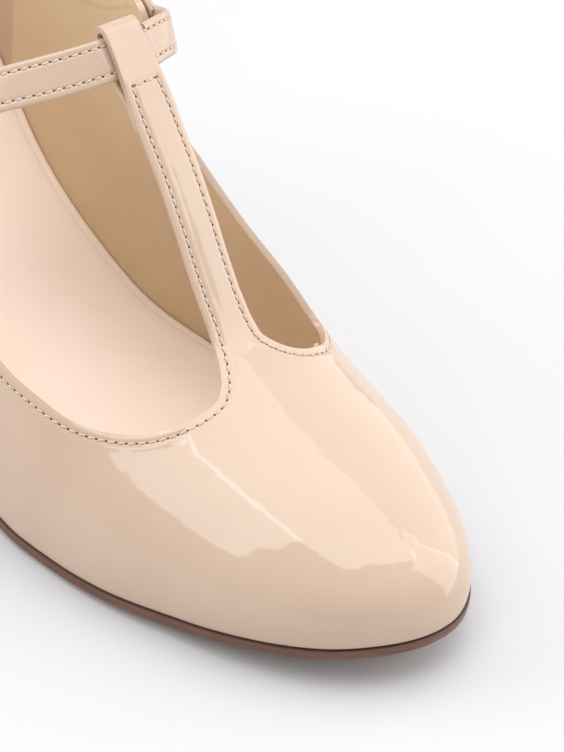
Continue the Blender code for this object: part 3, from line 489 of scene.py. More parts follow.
class Paint:
    """A material with a method that adds any node."""

    def __init__(self, name):
        self.material = bpy.data.materials.new(name)
        self.material.use_nodes = True
        self.tree = self.material.node_tree
        self.shader = self.tree.nodes["Principled BSDF"]
        self.place = self.add("ShaderNodeTexCoord", output="Object")

    def add(self, kind, settings=None, inputs=None, output=0):
        """A node of a kind: its settings first, then the values or flows of its sockets."""
        node = self.tree.nodes.new(kind)
        for key, value in (settings or {}).items():
            setattr(node, key, value)
        for key, value in (inputs or {}).items():
            self.join(node.inputs[key], value)
        return Flow(self, node.outputs[output])

    def join(self, socket, value):
        """Link a flow to a socket, or set the socket to a plain value or colour."""
        if isinstance(value, Flow):
            self.tree.links.new(value.socket, socket)
        elif isinstance(value, tuple) and len(socket.default_value) == 4:
            socket.default_value = (*value[:3], 1.0)
        else:
            socket.default_value = value

    def set(self, **values):
        """Sockets of the shader by name, with spaces written as underscores."""
        for key, value in values.items():
            self.join(self.shader.inputs[key.replace("_", " ")], value)
        return self

    def noise(self, scale, detail=2.0, rough=0.5, place=None):
        """Noise on the object's own coordinates, about 0.5 in the middle."""
        inputs = {"Vector": place or self.place, "Scale": scale, "Detail": detail,
                  "Roughness": rough}
        return self.add("ShaderNodeTexNoise", None, inputs)

    def cells(self, scale):
        """Distance to the nearest of many scattered points."""
        inputs = {"Vector": self.place, "Scale": scale}
        return self.add("ShaderNodeTexVoronoi", None, inputs, "Distance")

    def mix(self, factor, first, second):
        """A colour between two colours."""
        inputs = {0: factor, 6: first, 7: second}
        return self.add("ShaderNodeMix", {"data_type": "RGBA"}, inputs, 2)

    def stretched(self, scale):
        """The object's coordinates, scaled along each axis."""
        return self.add("ShaderNodeMapping", None, {"Vector": self.place, "Scale": scale})

    def bump(self, height, distance):
        """Normals of a relief whose height of 1 is a distance in metres."""
        inputs = {"Height": height, "Distance": distance, "Strength": 1.0}
        self.set(Normal=self.add("ShaderNodeBump", None, inputs))
        return self


# %% [markdown]
# Patent leather is a soft coloured leather under a clear, hard, glossy film. The film gives
# sharp reflections whose edges waver, because the leather below is never quite even. So the
# shader is a matt beige under a sharp gloss, with three scales of bump: broad waves of a tenth
# of a millimetre or so, ripples between them, and a faint orange peel.

# %% Patent leather


def patent_paint(name, colour, deep, wave, ripple, peel, roughness):
    """Glossy coated leather: wave, ripple and peel are the heights of its reliefs, in metres."""
    paint = Paint(name)
    tone = paint.noise(38, 3.0).band(0.35, 0.68)
    paint.set(Base_Color=paint.mix(tone, colour, deep), Roughness=roughness, IOR=1.60)
    broad = paint.noise(48, 1.0, 0.4) * wave + paint.noise(165, 1.5, 0.5) * ripple
    fine = paint.noise(900, 1.0, 0.4) * peel
    return paint.bump((broad + fine) * 1000.0, 0.001).material


patent = patent_paint("patent_leather", (0.575, 0.422, 0.312), (0.560, 0.405, 0.298),
                      0.00040, 0.00009, 0.000002, 0.05)
satin = patent_paint("strap_leather", (0.545, 0.402, 0.302), (0.530, 0.388, 0.288),
                     0.00010, 0.00003, 0.000005, 0.16)

# %% [markdown]
# The lining is matt tan leather with a fine grain. The heel grip behind it is pinker and softer,
# like the insole. Their relief is a net of small cells, blurred by noise.

# %% Lining and insole


def matt_paint(name, light, dark, grain, roughness):
    """Uncoated leather: a fine cell grain with a cloudy tone."""
    paint = Paint(name)
    cloud = paint.noise(55, 4.0, 0.6).band(0.30, 0.72)
    pores = paint.cells(1500).band(0.0, 0.55)
    tone = cloud * 0.75 + (1 - pores) * 0.25
    paint.set(Base_Color=paint.mix(tone, light, dark), Roughness=roughness,
              Specular_IOR_Level=0.35)
    relief = pores * 0.5 + paint.noise(700, 3.0) * 0.5
    return paint.bump(relief, grain).material


lining = matt_paint("tan_lining", (0.680, 0.512, 0.330), (0.636, 0.470, 0.297), 0.00006, 0.62)
grip = matt_paint("heel_grip", (0.575, 0.425, 0.303), (0.549, 0.397, 0.275), 0.00004, 0.60)
sock = matt_paint("insole_leather", (0.975, 0.835, 0.725), (0.965, 0.820, 0.705), 0.000025, 0.50)

# %% [markdown]
# The thread is a pale twist, and at each of its ends a small hole is drawn as a dark disc of
# painted shade. The sole's edge is stained brown and polished along its length, its underside is a
# grained board.

# %% Thread, sole, rubber and metal


def plain_paint(name, light, dark, scale, grain, roughness, metallic=0.0, stretch=(1, 1, 1)):
    """A finish with one cloud of tone and one relief at the same scale."""
    paint = Paint(name)
    place = paint.stretched(stretch)
    cloud = paint.noise(scale, 4.0, 0.6, place)
    paint.set(Base_Color=paint.mix(cloud.band(0.3, 0.7), light, dark), Metallic=metallic)
    paint.set(Roughness=cloud * 0.12 + (roughness - 0.06))
    return paint.bump(cloud, grain).material


thread = plain_paint("thread", (0.735, 0.565, 0.430), (0.650, 0.480, 0.355), 2600, 0.00005, 0.55)
# painted shade: a near-black brown for the small discs that stand in for the shadow inside each stitch
# hole
hole_shade = plain_paint("needle_hole_shade", (0.085, 0.045, 0.026), (0.060, 0.032, 0.019), 900, 0.00001, 0.8)
edge_brown = plain_paint("sole_edge", (0.160, 0.068, 0.038), (0.112, 0.045, 0.025), 90, 0.00006,
                         0.36, stretch=(1, 1, 9))
edge_light = plain_paint("sole_bevel", (0.310, 0.150, 0.088), (0.250, 0.115, 0.065), 110, 0.00005,
                         0.42)
# painted shade: a near-black brown for the band at the top of the sole's edge, standing in for the
# shadow where the upper meets the sole
joint_shade = plain_paint("sole_joint_shade", (0.075, 0.034, 0.020), (0.055, 0.025, 0.015), 300, 0.00004, 0.7)
tread = plain_paint("sole_underside", (0.330, 0.180, 0.110), (0.250, 0.130, 0.078), 260, 0.00008,
                    0.55, stretch=(1.0, 0.35, 1.0))
rubber = plain_paint("heel_rubber", (0.060, 0.042, 0.034), (0.040, 0.028, 0.022), 700, 0.00005, 0.6)
gold = plain_paint("pale_gold", (0.830, 0.690, 0.470), (0.800, 0.650, 0.430), 240, 0.000004, 0.20,
                   metallic=1.0)
print("materials:", len(bpy.data.materials))

# %% [markdown]
# The upper is one skin: two side walls, and between them the vamp's top that narrows into the
# bar. Near the throat's tips the rows close in, since the edge turns sharply there. The skin is
# pressed in along the stitch line and puffs up beside it, and only then does Solidify give it
# its thickness and its lining.

# %% Grids of the upper
front = OUTER_TIP * np.linspace(0, 1, 62) ** 1.6
between = OUTER_TIP + (INNER_TIP - OUTER_TIP) * np.linspace(0, 1, 12)[1:] ** 1.6
heel_fan = np.linspace(HEEL_CENTRE_SHARE, 1, 34)


def behind_tip(tip):
    """Stations behind a throat tip, spaced by the square root of the distance to the tip."""
    reach = np.linspace(0, math.sqrt(HEEL_CENTRE_SHARE - tip), 190)[1:-1]
    return np.concatenate([tip + reach ** 2, heel_fan])


outer_shares = np.concatenate([front, behind_tip(OUTER_TIP)])
inner_shares = np.concatenate([front, between, behind_tip(INNER_TIP)])
wall_parts = 1 - (1 - np.linspace(0, 1, 56)) ** 1.45
outer_wall = wall_point(outer_shares[:, None], -1, wall_parts)
inner_wall = wall_point(inner_shares[:, None], 1, wall_parts)

ACROSS = np.linspace(0, 1, 37)
STRIP_END = BAR_FREE_SHARE - 0.005
BAR_LIFT = 0.034


def vamp_top():
    """Rows over the vamp's top and the bar's root: on the last, easing up to the bar's line."""
    root = INNER_TIP + (STRIP_END - INNER_TIP) * np.linspace(0, 1, 44)[1:] ** 1.6
    shares = np.concatenate([front, between, root])
    outer, inner = bar_edges(shares)
    across = outer[:, None] + (inner - outer)[:, None] * ACROSS
    rows = np.array([over_last(share, x) for share, x in zip(shares, across)])
    for side, tip, end in ((-1, OUTER_TIP, 0), (1, INNER_TIP, -1)):
        before = shares <= tip
        rows[before, end] = wall_point(shares[before], side, 1.0)
    lift = ease((shares - BAR_FREE_SHARE) / BAR_LIFT + 1)[:, None]
    line = bar_line(shares)[:, 1:] - BAR_CROWN * (2 * ACROSS - 1) ** 2
    rows[..., 2] += (line - rows[..., 2]) * lift
    return rows, shares


def free_bar():
    """Rows of the free strip and its loop, square to the bar's line."""
    points, crowns, halves = loop_line()
    along = unit(np.gradient(points, axis=0))
    drop = crowns[:, None] * (2 * ACROSS - 1) ** 2
    x = BAR_CENTRE * BALL_WIDTH + 2 * halves[:, None] * (ACROSS - 0.5)
    y = points[:, :1] + drop * along[:, 1:]
    z = points[:, 1:] - drop * along[:, :1]
    return np.stack([x, y, z], -1)


top_rows, top_shares = vamp_top()
bar_rows = free_bar()
top = np.concatenate([top_rows, bar_rows])
print("grids of the upper:", outer_wall.shape, top.shape, inner_wall.shape)

# %% [markdown]
# The stitch line runs 1.7 mm inside the edge: up the bar, round each side of the throat and all
# along the collar. It is found by stepping in from the edge, square to it and within the skin.

# %% The upper's skin and its stitch line
STITCH_INSET = 0.0017
STITCH_PITCH = 0.00212
LOOP_ROW_REACH = -(STRAP_WIDTH / 2 + 0.0026)
GRIP_SHARE = 0.66

outer_numbers = np.where(outer_shares[1:] > GRIP_SHARE, 2, 0)[:, None]
inner_numbers = np.where(inner_shares[1:] > GRIP_SHARE, 2, 0)[:, None]
skin = piece("upper_skin", [(outer_wall, outer_numbers), top, (inner_wall[:, ::-1], inner_numbers)],
             [patent, lining, patent, grip], distance=0.000012)


def surface_tree(item):
    """A search tree of an object's faces."""
    mesh = item.data
    points = vertices(mesh)[0]
    return BVHTree.FromPolygons(points.tolist(), [tuple(f.vertices) for f in mesh.polygons])


def drop_on(tree, points):
    """The nearest place of a surface to each point, with the way out of the surface there."""
    hits = [tree.find_nearest(point) for point in points.tolist()]
    return np.array([hit[0] for hit in hits]), np.array([hit[1] for hit in hits])


def inset_line(tree, edge, inset, sign):
    """A line inside an edge: each point steps square to the edge, along the surface.

    Where the edge turns sharply some of the steps cross, and those points are left out.
    """
    edge = resample(edge, 0.0008)
    along = unit(np.gradient(edge, axis=0))
    normal = drop_on(tree, edge)[1]
    inward = unit(np.cross(normal, along)) * sign
    found = drop_on(tree, edge + inward * inset)[0]
    return found[nearest(found, edge) > 0.8 * inset]


skin_tree = surface_tree(skin)
tip_row = int(np.searchsorted(top_shares, OUTER_TIP))
inner_tip_row = int(np.searchsorted(top_shares, INNER_TIP))
stop_row = len(top_rows) + int(np.searchsorted(UP_REACH, LOOP_ROW_REACH))
outer_edge = np.concatenate([top[stop_row:tip_row:-1, 0],
                             outer_wall[outer_shares >= OUTER_TIP][:, -1]])
inner_edge = np.concatenate([top[stop_row:inner_tip_row:-1, -1],
                             inner_wall[inner_shares >= INNER_TIP][:, -1]])
outer_seam = inset_line(skin_tree, outer_edge, STITCH_INSET, 1)
inner_seam = inset_line(skin_tree, inner_edge, STITCH_INSET, -1)
cross_seam = np.linspace(outer_seam[0], inner_seam[0], 12)
print("stitch lines in mm:", [round(1000 * float(distances(line)[-1]))
                              for line in (outer_seam, inner_seam, cross_seam)])

# %% [markdown]
# The groove is a narrow dip at the stitch line and a low swelling to each side of it, both read
# from the distance to the line. The same relief makes the closed seam at the back of the heel.

# %% Press the stitch line into the skin
back_line = wall_point(1.0, -1, np.linspace(0.02, 0.97, 60))


def press(item, lines, depth, width, puff, spread):
    """Move an object's points along their normals: a dip at the lines and a puff beside it."""
    points, normals = vertices(item.data)
    line = np.concatenate([resample(one, 0.0003) for one in lines])
    away = nearest(points, line)
    height = puff * np.exp(-((away - 2.4 * width) / spread) ** 2) - depth * np.exp(-(away / width) ** 2)
    points += normals * height[:, None]
    item.data.vertices.foreach_set("co", points.astype(np.float32).ravel())
    item.data.update()


press(skin, [outer_seam, inner_seam, cross_seam], depth=0.00016, width=0.00040, puff=0.00007,
      spread=0.0006)
press(skin, [back_line], depth=0.00022, width=0.00035, puff=0.00004, spread=0.0006)
skin_tree = surface_tree(skin)

shell = skin.modifiers.new("Leather and lining", "SOLIDIFY")
shell.thickness = WALL
shell.offset = -1
shell.material_offset = 1
shell.material_offset_rim = 0
rounding = skin.modifiers.new("Rounded edge", "BEVEL")
rounding.width = 0.00055
rounding.segments = 3
rounding.limit_method = "ANGLE"
rounding.angle_limit = math.radians(55)
print("upper skin:", len(skin.data.vertices), "points")

# %% [markdown]
# A stitch is a short pale thread that rises out of one hole and dips into the next. One small
# thread is made once, and copied along the line by turning it with the line's own directions.

# %% Stitches
THREAD = 0.00021
THREAD_SHARE = 0.80
THREAD_LIFT = 0.00006
HOLE_LENGTH = 0.00058
HOLE_WIDTH = 0.00044
HOLE_HEIGHT = 0.00006
HOLE_LIFT = 0.00005


def thread_shape(length, radius, rings=7, sides=8):
    """One thread on a grid: radius and height follow the square root and the sine of the run."""
    run = np.linspace(0, 1, rings)[:, None]
    turn = np.linspace(0, 2 * math.pi, sides + 1)[None, :]
    thick = radius * np.sqrt(np.clip(np.sin(math.pi * run), 0, 1))
    x = (run - 0.5) * length + 0 * turn
    y = thick * np.cos(turn) + (run - 0.5) * radius * 1.1
    z = thick * np.sin(turn) + radius * (1.1 * np.sin(math.pi * run) - 0.55)
    return np.stack([x, y, z], -1)


def hole_shape(length, width, height, rings=4, sides=10):
    """One flat dimple for a stitch hole: a low dome whose height falls off with the square of the
    radius; its dark colour is painted shade.
    """
    out = np.linspace(0, 1, rings)[:, None]
    turn = np.linspace(0, 2 * math.pi, sides + 1)[None, :]
    x = out * length / 2 * np.cos(turn)
    y = out * width / 2 * np.sin(turn)
    z = height * (1 - out ** 2) + 0 * turn - height * 0.35
    return np.stack([x, y, z], -1)


def copies(shape, origin, along, across, out):
    """The same grid at many places, as one list of grids in world coordinates."""
    placed = (origin[:, None, None, :] + shape[None, ..., 0, None] * along[:, None, None, :]
              + shape[None, ..., 1, None] * across[:, None, None, :]
              + shape[None, ..., 2, None] * out[:, None, None, :])
    return [one for one in placed]


def sew(line, out, pitch=STITCH_PITCH):
    """Grids of the threads and holes along a line, with the way out of the leather on it."""
    both = resample(np.concatenate([line, out], axis=1), pitch)
    points, ways = both[:, :3], unit(both[:, 3:])
    middle, way = (points[1:] + points[:-1]) / 2, unit(ways[1:] + ways[:-1])
    along = unit(points[1:] - points[:-1])
    across = unit(np.cross(way, along))
    way = np.cross(along, across)
    shape = thread_shape(pitch * THREAD_SHARE, THREAD)
    threads = copies(shape, middle + way * THREAD_LIFT, along, across, way)
    ahead = unit(np.gradient(points, axis=0))
    aside = unit(np.cross(ways, ahead))
    ways = np.cross(ahead, aside)
    shape = hole_shape(HOLE_LENGTH, HOLE_WIDTH, HOLE_HEIGHT)
    holes = copies(shape, points + ways * HOLE_LIFT, ahead, aside, ways)
    return threads, holes


def sewn(name, rows):
    """Threads and holes of several rows as one object that rides on the shoe."""
    threads, holes = [], []
    for line, out in rows:
        some, more = sew(line, out)
        threads += some
        holes += more
    # the holes take the dark painted shade that stands in for the inside of each stitch hole
    item = piece(name, [(grid, 0) for grid in threads] + [(grid, 1) for grid in holes],
                 [thread, hole_shade], distance=0.000002)
    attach(item, "root")
    return item


seam_rows = []
for line in (outer_seam, inner_seam, cross_seam[1:-1]):
    seam_rows.append(drop_on(skin_tree, resample(line, 0.0004)))
stitches = sewn("upper_stitches", seam_rows)
print("upper stitches:", len(stitches.data.polygons), "faces")

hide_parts("upper")
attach(skin, "root")

# %% [markdown]
# The bottom pieces follow the feather edge in plan. Their outline is that edge moved in or out,
# square to itself, and a layer of the piece is an outline at a height over the feather edge.

# %% Outlines under the foot


def outline(shares, distance):
    """Outer and inner feather edge in plan, moved outwards by a distance; rows are x, y."""
    outer, inner = last_point(shares, -1, 0.0)[:, :2], last_point(shares, 1, 0.0)[:, :2]
    first = int(np.linalg.norm(outer[0] - inner[0]) < 1e-6)
    last = int(np.linalg.norm(outer[-1] - inner[-1]) < 1e-6)
    loop = np.concatenate([outer, inner[first:len(inner) - last][::-1]])
    along = unit(unit(np.roll(loop, -1, 0) - loop) + unit(loop - np.roll(loop, 1, 0)))
    moved = loop + distance * np.stack([-along[:, 1], along[:, 0]], -1)
    count = len(outer)
    inner_moved = np.concatenate([moved[:first], moved[count:][::-1], moved[count - last:count]])
    return moved[:count], inner_moved


def height_at(y):
    """Height of the feather edge over a given y."""
    return feather_height((np.asarray(y) + LENGTH / 2) / (LENGTH / 2 + BACK))


def layered(shares, layers):
    """Outer and inner edge of each layer, as two grids of stations by layers."""
    sides = ([], [])
    for distance, height in layers:
        for edge, side in zip(outline(shares, distance), sides):
            side.append(np.column_stack([edge, height_at(edge[:, 1]) + height]))
    return np.stack(sides[0], 1), np.stack(sides[1], 1)


def span(outer, inner, count=33, dish=0.0):
    """A grid from one edge to the other, hollowed in the middle by the dish."""
    t = np.linspace(0, 1, count)[None, :, None]
    grid = outer[:, None] + (inner - outer)[:, None] * t
    width = np.linalg.norm(inner - outer, axis=-1)[:, None]
    grid[..., 2] -= dish * (1 - (2 * t[..., 0] - 1) ** 2) * np.clip(width / 0.05, 0, 1)
    return grid


def walls_and_caps(sides, count):
    """Both side grids, then the caps over their first layers, last layers and front ends."""
    outer, inner = sides
    caps = [span(outer[:, 0], inner[:, 0], count), span(outer[:, -1], inner[:, -1], count),
            span(outer[0], inner[0], count)]
    return [outer, inner] + caps


BOTTOM_START, BOTTOM_RUN = 0.0025, 0.882
bottom_shares = BOTTOM_START + BOTTOM_RUN * np.linspace(0, 1, 150) ** 1.25
bottom_shares = np.concatenate([bottom_shares[bottom_shares < HEEL_CENTRE_SHARE], heel_fan])

# %% [markdown]
# The insole is a board with a smooth leather sock glued over it. The sock rolls over at the
# wall, which shows as a second line a couple of millimetres inside the edge.

# %% Insole
INSOLE_INSET = WALL + 0.00005
INSOLE_DISH = 0.0004
ROLL = ((0.0, 0.0), (0.0, 0.45), (0.00015, 0.60), (0.00045, 0.70), (0.0010, 0.76), (0.0016, 0.775),
        (0.0019, 0.76), (0.0021, 0.78), (0.0024, 0.86), (0.0029, 0.94), (0.0036, 0.985),
        (0.0045, 1.0))
insole_layers = [(-INSOLE_INSET - inset, INSOLE_THICKNESS * height) for inset, height in ROLL]
outer_side, inner_side = layered(bottom_shares, insole_layers)
insole = piece("insole_sock", [outer_side, inner_side,
                               span(outer_side[:, -1], inner_side[:, -1], 33, INSOLE_DISH),
                               span(outer_side[:, 0], inner_side[:, 0], 9),
                               span(outer_side[0], inner_side[0], 9)],
               [sock], outward=True)
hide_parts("insole")
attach(insole, "root")
print("insole:", len(insole.data.polygons), "faces")

# %% [markdown]
# The sole is thin. Where the upper meets it, a dark band of painted shade stands in for the
# shadow in the joint, then comes a brown edge, and a paler bevel turns under the shoe.

# %% Outsole
sole_end = BREAST_SHARE - GAP / LENGTH
sole_shares = sole_end * np.linspace(0, 1, 170) ** 1.25
SOLE_PROFILE = ((-0.0014, 0.00), (-0.0012, 0.06), (-0.0001, 0.085), (0.0, 0.12), (0.00005, 0.25),
                (0.00005, 0.45), (0.0, 0.62), (-0.0002, 0.72), (-0.0005, 0.82), (-0.0010, 0.92),
                (-0.0017, 0.98), (-0.0026, 1.0))
sole_layers = [(OUTSOLE_EDGE + move, -GAP - OUTSOLE_THICKNESS * deep) for move, deep in SOLE_PROFILE]
outer_side, inner_side = layered(sole_shares, sole_layers)
# the top two layers of the edge and the hidden top cap take the painted shade of the joint under the
# upper
sole_numbers = np.array([2, 2, 0, 0, 0, 0, 0, 1, 1, 1, 3])[None, :]
outsole = piece("outsole_edge", [(outer_side, sole_numbers), (inner_side, sole_numbers),
                                 (span(outer_side[:, 0], inner_side[:, 0], 9), 2),
                                 (span(outer_side[:, -1], inner_side[:, -1], 25), 3),
                                 (span(outer_side[-1], inner_side[-1], 9), 3)],
                [edge_brown, edge_light, joint_shade, tread], outward=True)
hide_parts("outsole")
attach(outsole, "root")
print("outsole:", len(outsole.data.polygons), "faces")

# %% [markdown]
# The heel is covered in the same patent leather. Its plan shrinks from the seat to the foot on a
# curve that is quick at first, which hollows the profile.

# %% The covered heel
HEEL_HOLLOW = 2.3
HEEL_EDGE = ((0, 6e-4), (0.004, 2e-4), (0.010, 0), (0.985, 0), (0.993, 1e-4), (1, 4e-4))
heel_shares = np.concatenate([np.linspace(BREAST_SHARE, HEEL_CENTRE_SHARE, 26)[:-1], heel_fan])


def heel_foot(outer, inner):
    """Plan of the heel's foot: the seat's outline scaled to the foot's length and width."""
    first, back = outer[0, 1], outer[:, 1].max()
    centre = (outer[0, 0] + inner[0, 0]) / 2
    half = max(np.abs(outer[:, 0] - centre).max(), np.abs(inner[:, 0] - centre).max())
    feet = []
    for edge in (outer, inner):
        x = centre + (edge[:, 0] - centre) / half * HEEL_FOOT_WIDTH / 2
        y = BACK - HEEL_FOOT_SHIFT - (back - edge[:, 1]) / (back - first) * HEEL_FOOT_LENGTH
        feet.append(np.column_stack([x, y]))
    return feet


def heel_wall(edge, foot, parts, inset):
    """Grid of a heel's side: plan between seat and foot, height straight down."""
    seat = height_at(edge[:, 1])[:, None] - GAP
    floor = TOP_PIECE_HEIGHT + GAP
    move = (1 - (1 - parts) ** HEEL_HOLLOW)[None, :, None]
    plan = edge[:, None] + (foot - edge)[:, None] * move
    middle = plan.mean(axis=0, keepdims=True) * [0, 1] + [[[foot[:, 0].mean(), 0]]]
    plan = plan + unit(middle - plan) * inset[None, :, None]
    return np.concatenate([plan, (seat + (floor - seat) * parts)[..., None]], -1)


heel_parts = np.concatenate([[0, 0.004, 0.010], np.linspace(0.02, 0.985, 44), [0.993, 1.0]])
heel_inset = np.interp(heel_parts, *np.array(HEEL_EDGE).T)
outer_plan, inner_plan = outline(heel_shares, 0.0)
feet = heel_foot(outer_plan, inner_plan)
heel_sides = [heel_wall(edge, foot, heel_parts, heel_inset)
              for edge, foot in zip((outer_plan, inner_plan), feet)]
heel = piece("heel_cover", walls_and_caps(heel_sides, 15), [patent], outward=True)
rounding = heel.modifiers.new("Rounded breast", "BEVEL")
rounding.width = 0.0007
rounding.segments = 3
rounding.limit_method = "ANGLE"
rounding.angle_limit = math.radians(40)
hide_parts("heel")
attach(heel, "root")
print("heel:", len(heel.data.polygons), "faces")

# %% [markdown]
# The lift is a hard rubber plate, nailed under the heel and cut to its shape. A fine groove runs
# round it, and its lower edge is a little worn in.

# %% The lift under the heel
LIFT = ((0.00030, 1.0), (0.0, 0.95), (0.0, 0.62), (0.00018, 0.60), (0.0, 0.58), (0.0, 0.10),
        (0.00035, 0.02), (0.0008, 0.0))


def lift_side(foot):
    """Grid of the top piece's side, with a fine groove round it."""
    inset, height = np.array(LIFT).T
    middle = np.array([foot[:, 0].mean(), foot[:, 1].mean()])
    plan = foot[:, None] + unit(middle - foot)[:, None] * inset[None, :, None]
    level = np.broadcast_to(height * TOP_PIECE_HEIGHT, plan.shape[:2])
    return np.concatenate([plan, level[..., None]], -1)


lift_sides = [lift_side(foot) for foot in feet]
top_piece = piece("heel_lift", walls_and_caps(lift_sides, 7), [rubber], outward=True)
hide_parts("top_piece")
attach(top_piece, "root")
print("lift:", len(top_piece.data.polygons), "faces")

# %% [markdown]
# The instep strap starts on the inner wing, passes under the bar and comes down over the outer
# quarter to its buckle. The path is made of the wing's line, two cubics that leave and arrive in
# chosen directions, a short level piece under the bar and a straight run down the tab.

# %% Path of the strap


def wall_frame(share, side, part, part_step=0.02, share_step=0.004):
    """Points of a wall's outer face with the way up the wall and the way out of it.

    Both ways come from the points a small step above, below, before and behind.
    """
    point = wall_point(share, side, part)
    above, below = (wall_point(share, side, part + step) for step in (part_step, -part_step))
    behind, before = (wall_point(share + step, side, part) for step in (share_step, -share_step))
    up = unit(above - below)
    along = behind - before
    out = unit(np.cross(along, up))
    return point, up, out * np.where(out[..., :1] * side < 0, -1, 1)


TAB_POINT, TAB_UP, TAB_OUT = wall_frame(TAB_SHARE, -1, TAB_PART)
TAB_UP = unit(TAB_UP + np.array([0.0, -TAB_LEAN, 0.0]))
TAB_OUT = unit(TAB_OUT - TAB_UP * np.dot(TAB_OUT, TAB_UP))
TAB_SIDE = np.cross(TAB_UP, TAB_OUT)
RUN_ORIGIN = TAB_POINT + TAB_OUT * (2 * GAP + TAB_THICKNESS + STRAP_THICKNESS / 2)
tab_to_topline = np.linalg.norm(wall_point(TAB_SHARE, -1, 1.0) - wall_point(TAB_SHARE, -1, TAB_PART))
KEEPER_AT = float(tab_to_topline + KEEPER_WIDTH / 2 + KEEPER_CLEAR)
BUCKLE_AT = KEEPER_AT + KEEPER_WIDTH / 2 + BUCKLE_LENGTH / 2 + 3 * BUCKLE_WIRE
RUN_TOP = BUCKLE_AT + BUCKLE_LENGTH / 2 + 2 * BUCKLE_WIRE


def pull_curve(start, end, first, last, pulls, count):
    """A cubic that leaves the start and reaches the end in given directions."""
    t = np.linspace(0, 1, count)[1:, None]
    reach = np.linalg.norm(end - start)
    h0, h1 = 2 * t ** 3 - 3 * t * t + 1, t ** 3 - 2 * t * t + t
    pull = h1 * pulls[0] * unit(first) + (t ** 3 - t * t) * pulls[1] * unit(last)
    return h0 * start + (1 - h0) * end + pull * reach


def strap_path():
    """Middle of the strap with the way across it, from the wing to the strap's free end."""
    shares = np.linspace(STRAP_WING_START, STRAP_WING_END, 60)
    high = wall_point(shares, 1, 1.0)
    low_part = 0.6
    length = np.linalg.norm(high - wall_point(shares, 1, low_part), axis=-1) / (1 - low_part)
    point, up, out = wall_frame(shares, 1, 1 - (STRAP_WIDTH / 2 + WING_MARGIN) / length)
    wing = point + out * (STRAP_SEAT + STRAP_THICKNESS / 2)
    under = BAR_CROSSING - BAR_OUT * (WALL + GAP + STRAP_THICKNESS / 2)
    reach = BAR_WIDTH / 2 + STRAP_CLEAR
    bar = [np.array([BAR_CENTRE * BALL_WIDTH + side * reach, *under]) for side in (1, -1)]
    bar_way = np.array([0.0, *BAR_UP])
    high_end = RUN_ORIGIN + TAB_UP * RUN_TOP
    end_way = TAB_SIDE if TAB_SIDE[2] > 0 else -TAB_SIDE
    first = pull_curve(wing[-1], bar[0], STRAP_LEAVE, STRAP_RISE, STRAP_PULLS[0], 80)
    middle = np.linspace(bar[0], bar[1], 12)[1:]
    second = pull_curve(bar[1], high_end, STRAP_FALL, -TAB_UP, STRAP_PULLS[1], 90)
    run = RUN_ORIGIN + TAB_UP * np.linspace(RUN_TOP, STRAP_END, 50)[1:, None]
    turn = ease(np.linspace(0, 1, 80)[1:])[:, None]
    turn_end = ease(np.linspace(0, 1, 90)[1:])[:, None]
    ways = [up, up[-1] + (bar_way - up[-1]) * turn, np.tile(bar_way, (11, 1)),
            bar_way + (end_way - bar_way) * turn_end, np.tile(end_way, (49, 1))]
    return np.concatenate([wing, first, middle, second, run]), np.concatenate(ways)


strap_line, strap_across = strap_path()
print("strap path:", len(strap_line), "points,", round(1000 * distances(strap_line)[-1]), "mm")

# %% [markdown]
# A strap like this is two layers of leather, glued and stitched near both edges. Its section is
# drawn once, with rolled edges and a dip at each row of stitches. It is then carried along the
# path by the path's own directions, so it never shears where the path turns.

# %% Section of the strap


def frames(line, across):
    """Unit directions ahead, across and out at each point of a line."""
    ahead = unit(np.gradient(line, axis=0))
    across = unit(across - ahead * (across * ahead).sum(-1, keepdims=True))
    return ahead, across, np.cross(across, ahead)


EDGE_ROLL = 0.0006
FACE_CROWN = 0.00010
GROOVE_DEPTH = 0.00018
GROOVE_WIDTH = 0.00032
# the side below the rolled edge: inset in metres, height as a share of half the thickness
STRAP_LAYERS = ((0.00003, -0.20), (0.0003, -0.30), (0.0003, -0.36), (0.00016, -0.46),
                (0.00014, -0.75), (0.0004, -1.0))


def strap_ring(width, thickness, inset):
    """Profile of a sewn strap as across and out: rolled top edge, a groove, then the lining."""
    a, b = width / 2, thickness / 2
    h = np.linspace(-a + EDGE_ROLL, a - EDGE_ROLL, 49)
    side = a - inset
    away = np.minimum(np.abs(h - side), np.abs(h + side))
    level = b - GROOVE_DEPTH * np.exp(-(away / GROOVE_WIDTH) ** 2) - FACE_CROWN * (h / a) ** 2
    roll = np.linspace(0, math.pi / 2, 6)[1:]
    right = [(a - EDGE_ROLL * (1 - math.sin(t)), b - FACE_CROWN - EDGE_ROLL * (1 - math.cos(t)))
             for t in roll]
    right += [(a - move, height * b) for move, height in STRAP_LAYERS]
    left = [(-x, y) for x, y in right[::-1]]
    return np.array(list(zip(h, level)) + right + [(0.0, -b)] + left + [(h[0], level[0])])


def carried(line, across, ring, narrow=None):
    """A closed profile carried along a line: grid of line points by profile points."""
    _, way, out = frames(line, across)
    scale = np.ones(len(line)) if narrow is None else narrow
    return (line[:, None] + way[:, None] * (ring[None, :, :1] * scale[:, None, None])
            + out[:, None] * ring[None, :, 1:])


def ends(grid):
    """Two caps that close a carried profile: each end's ring drawn together to its middle."""
    caps = []
    for row in (grid[0], grid[-1]):
        middle = row[:-1].mean(0)
        caps.append(np.stack([row, middle + (row - middle) * 0.5, np.tile(middle, (len(row), 1))]))
    return caps


STRAP_INSET = 0.0016
ring = strap_ring(STRAP_WIDTH, STRAP_THICKNESS, STRAP_INSET)
print("strap section:", len(ring), "points")

# %% [markdown]
# The strap's free end is cut round, so the section narrows towards it. The stitches run along
# both edges and close across the end that is sewn to the inner wing.

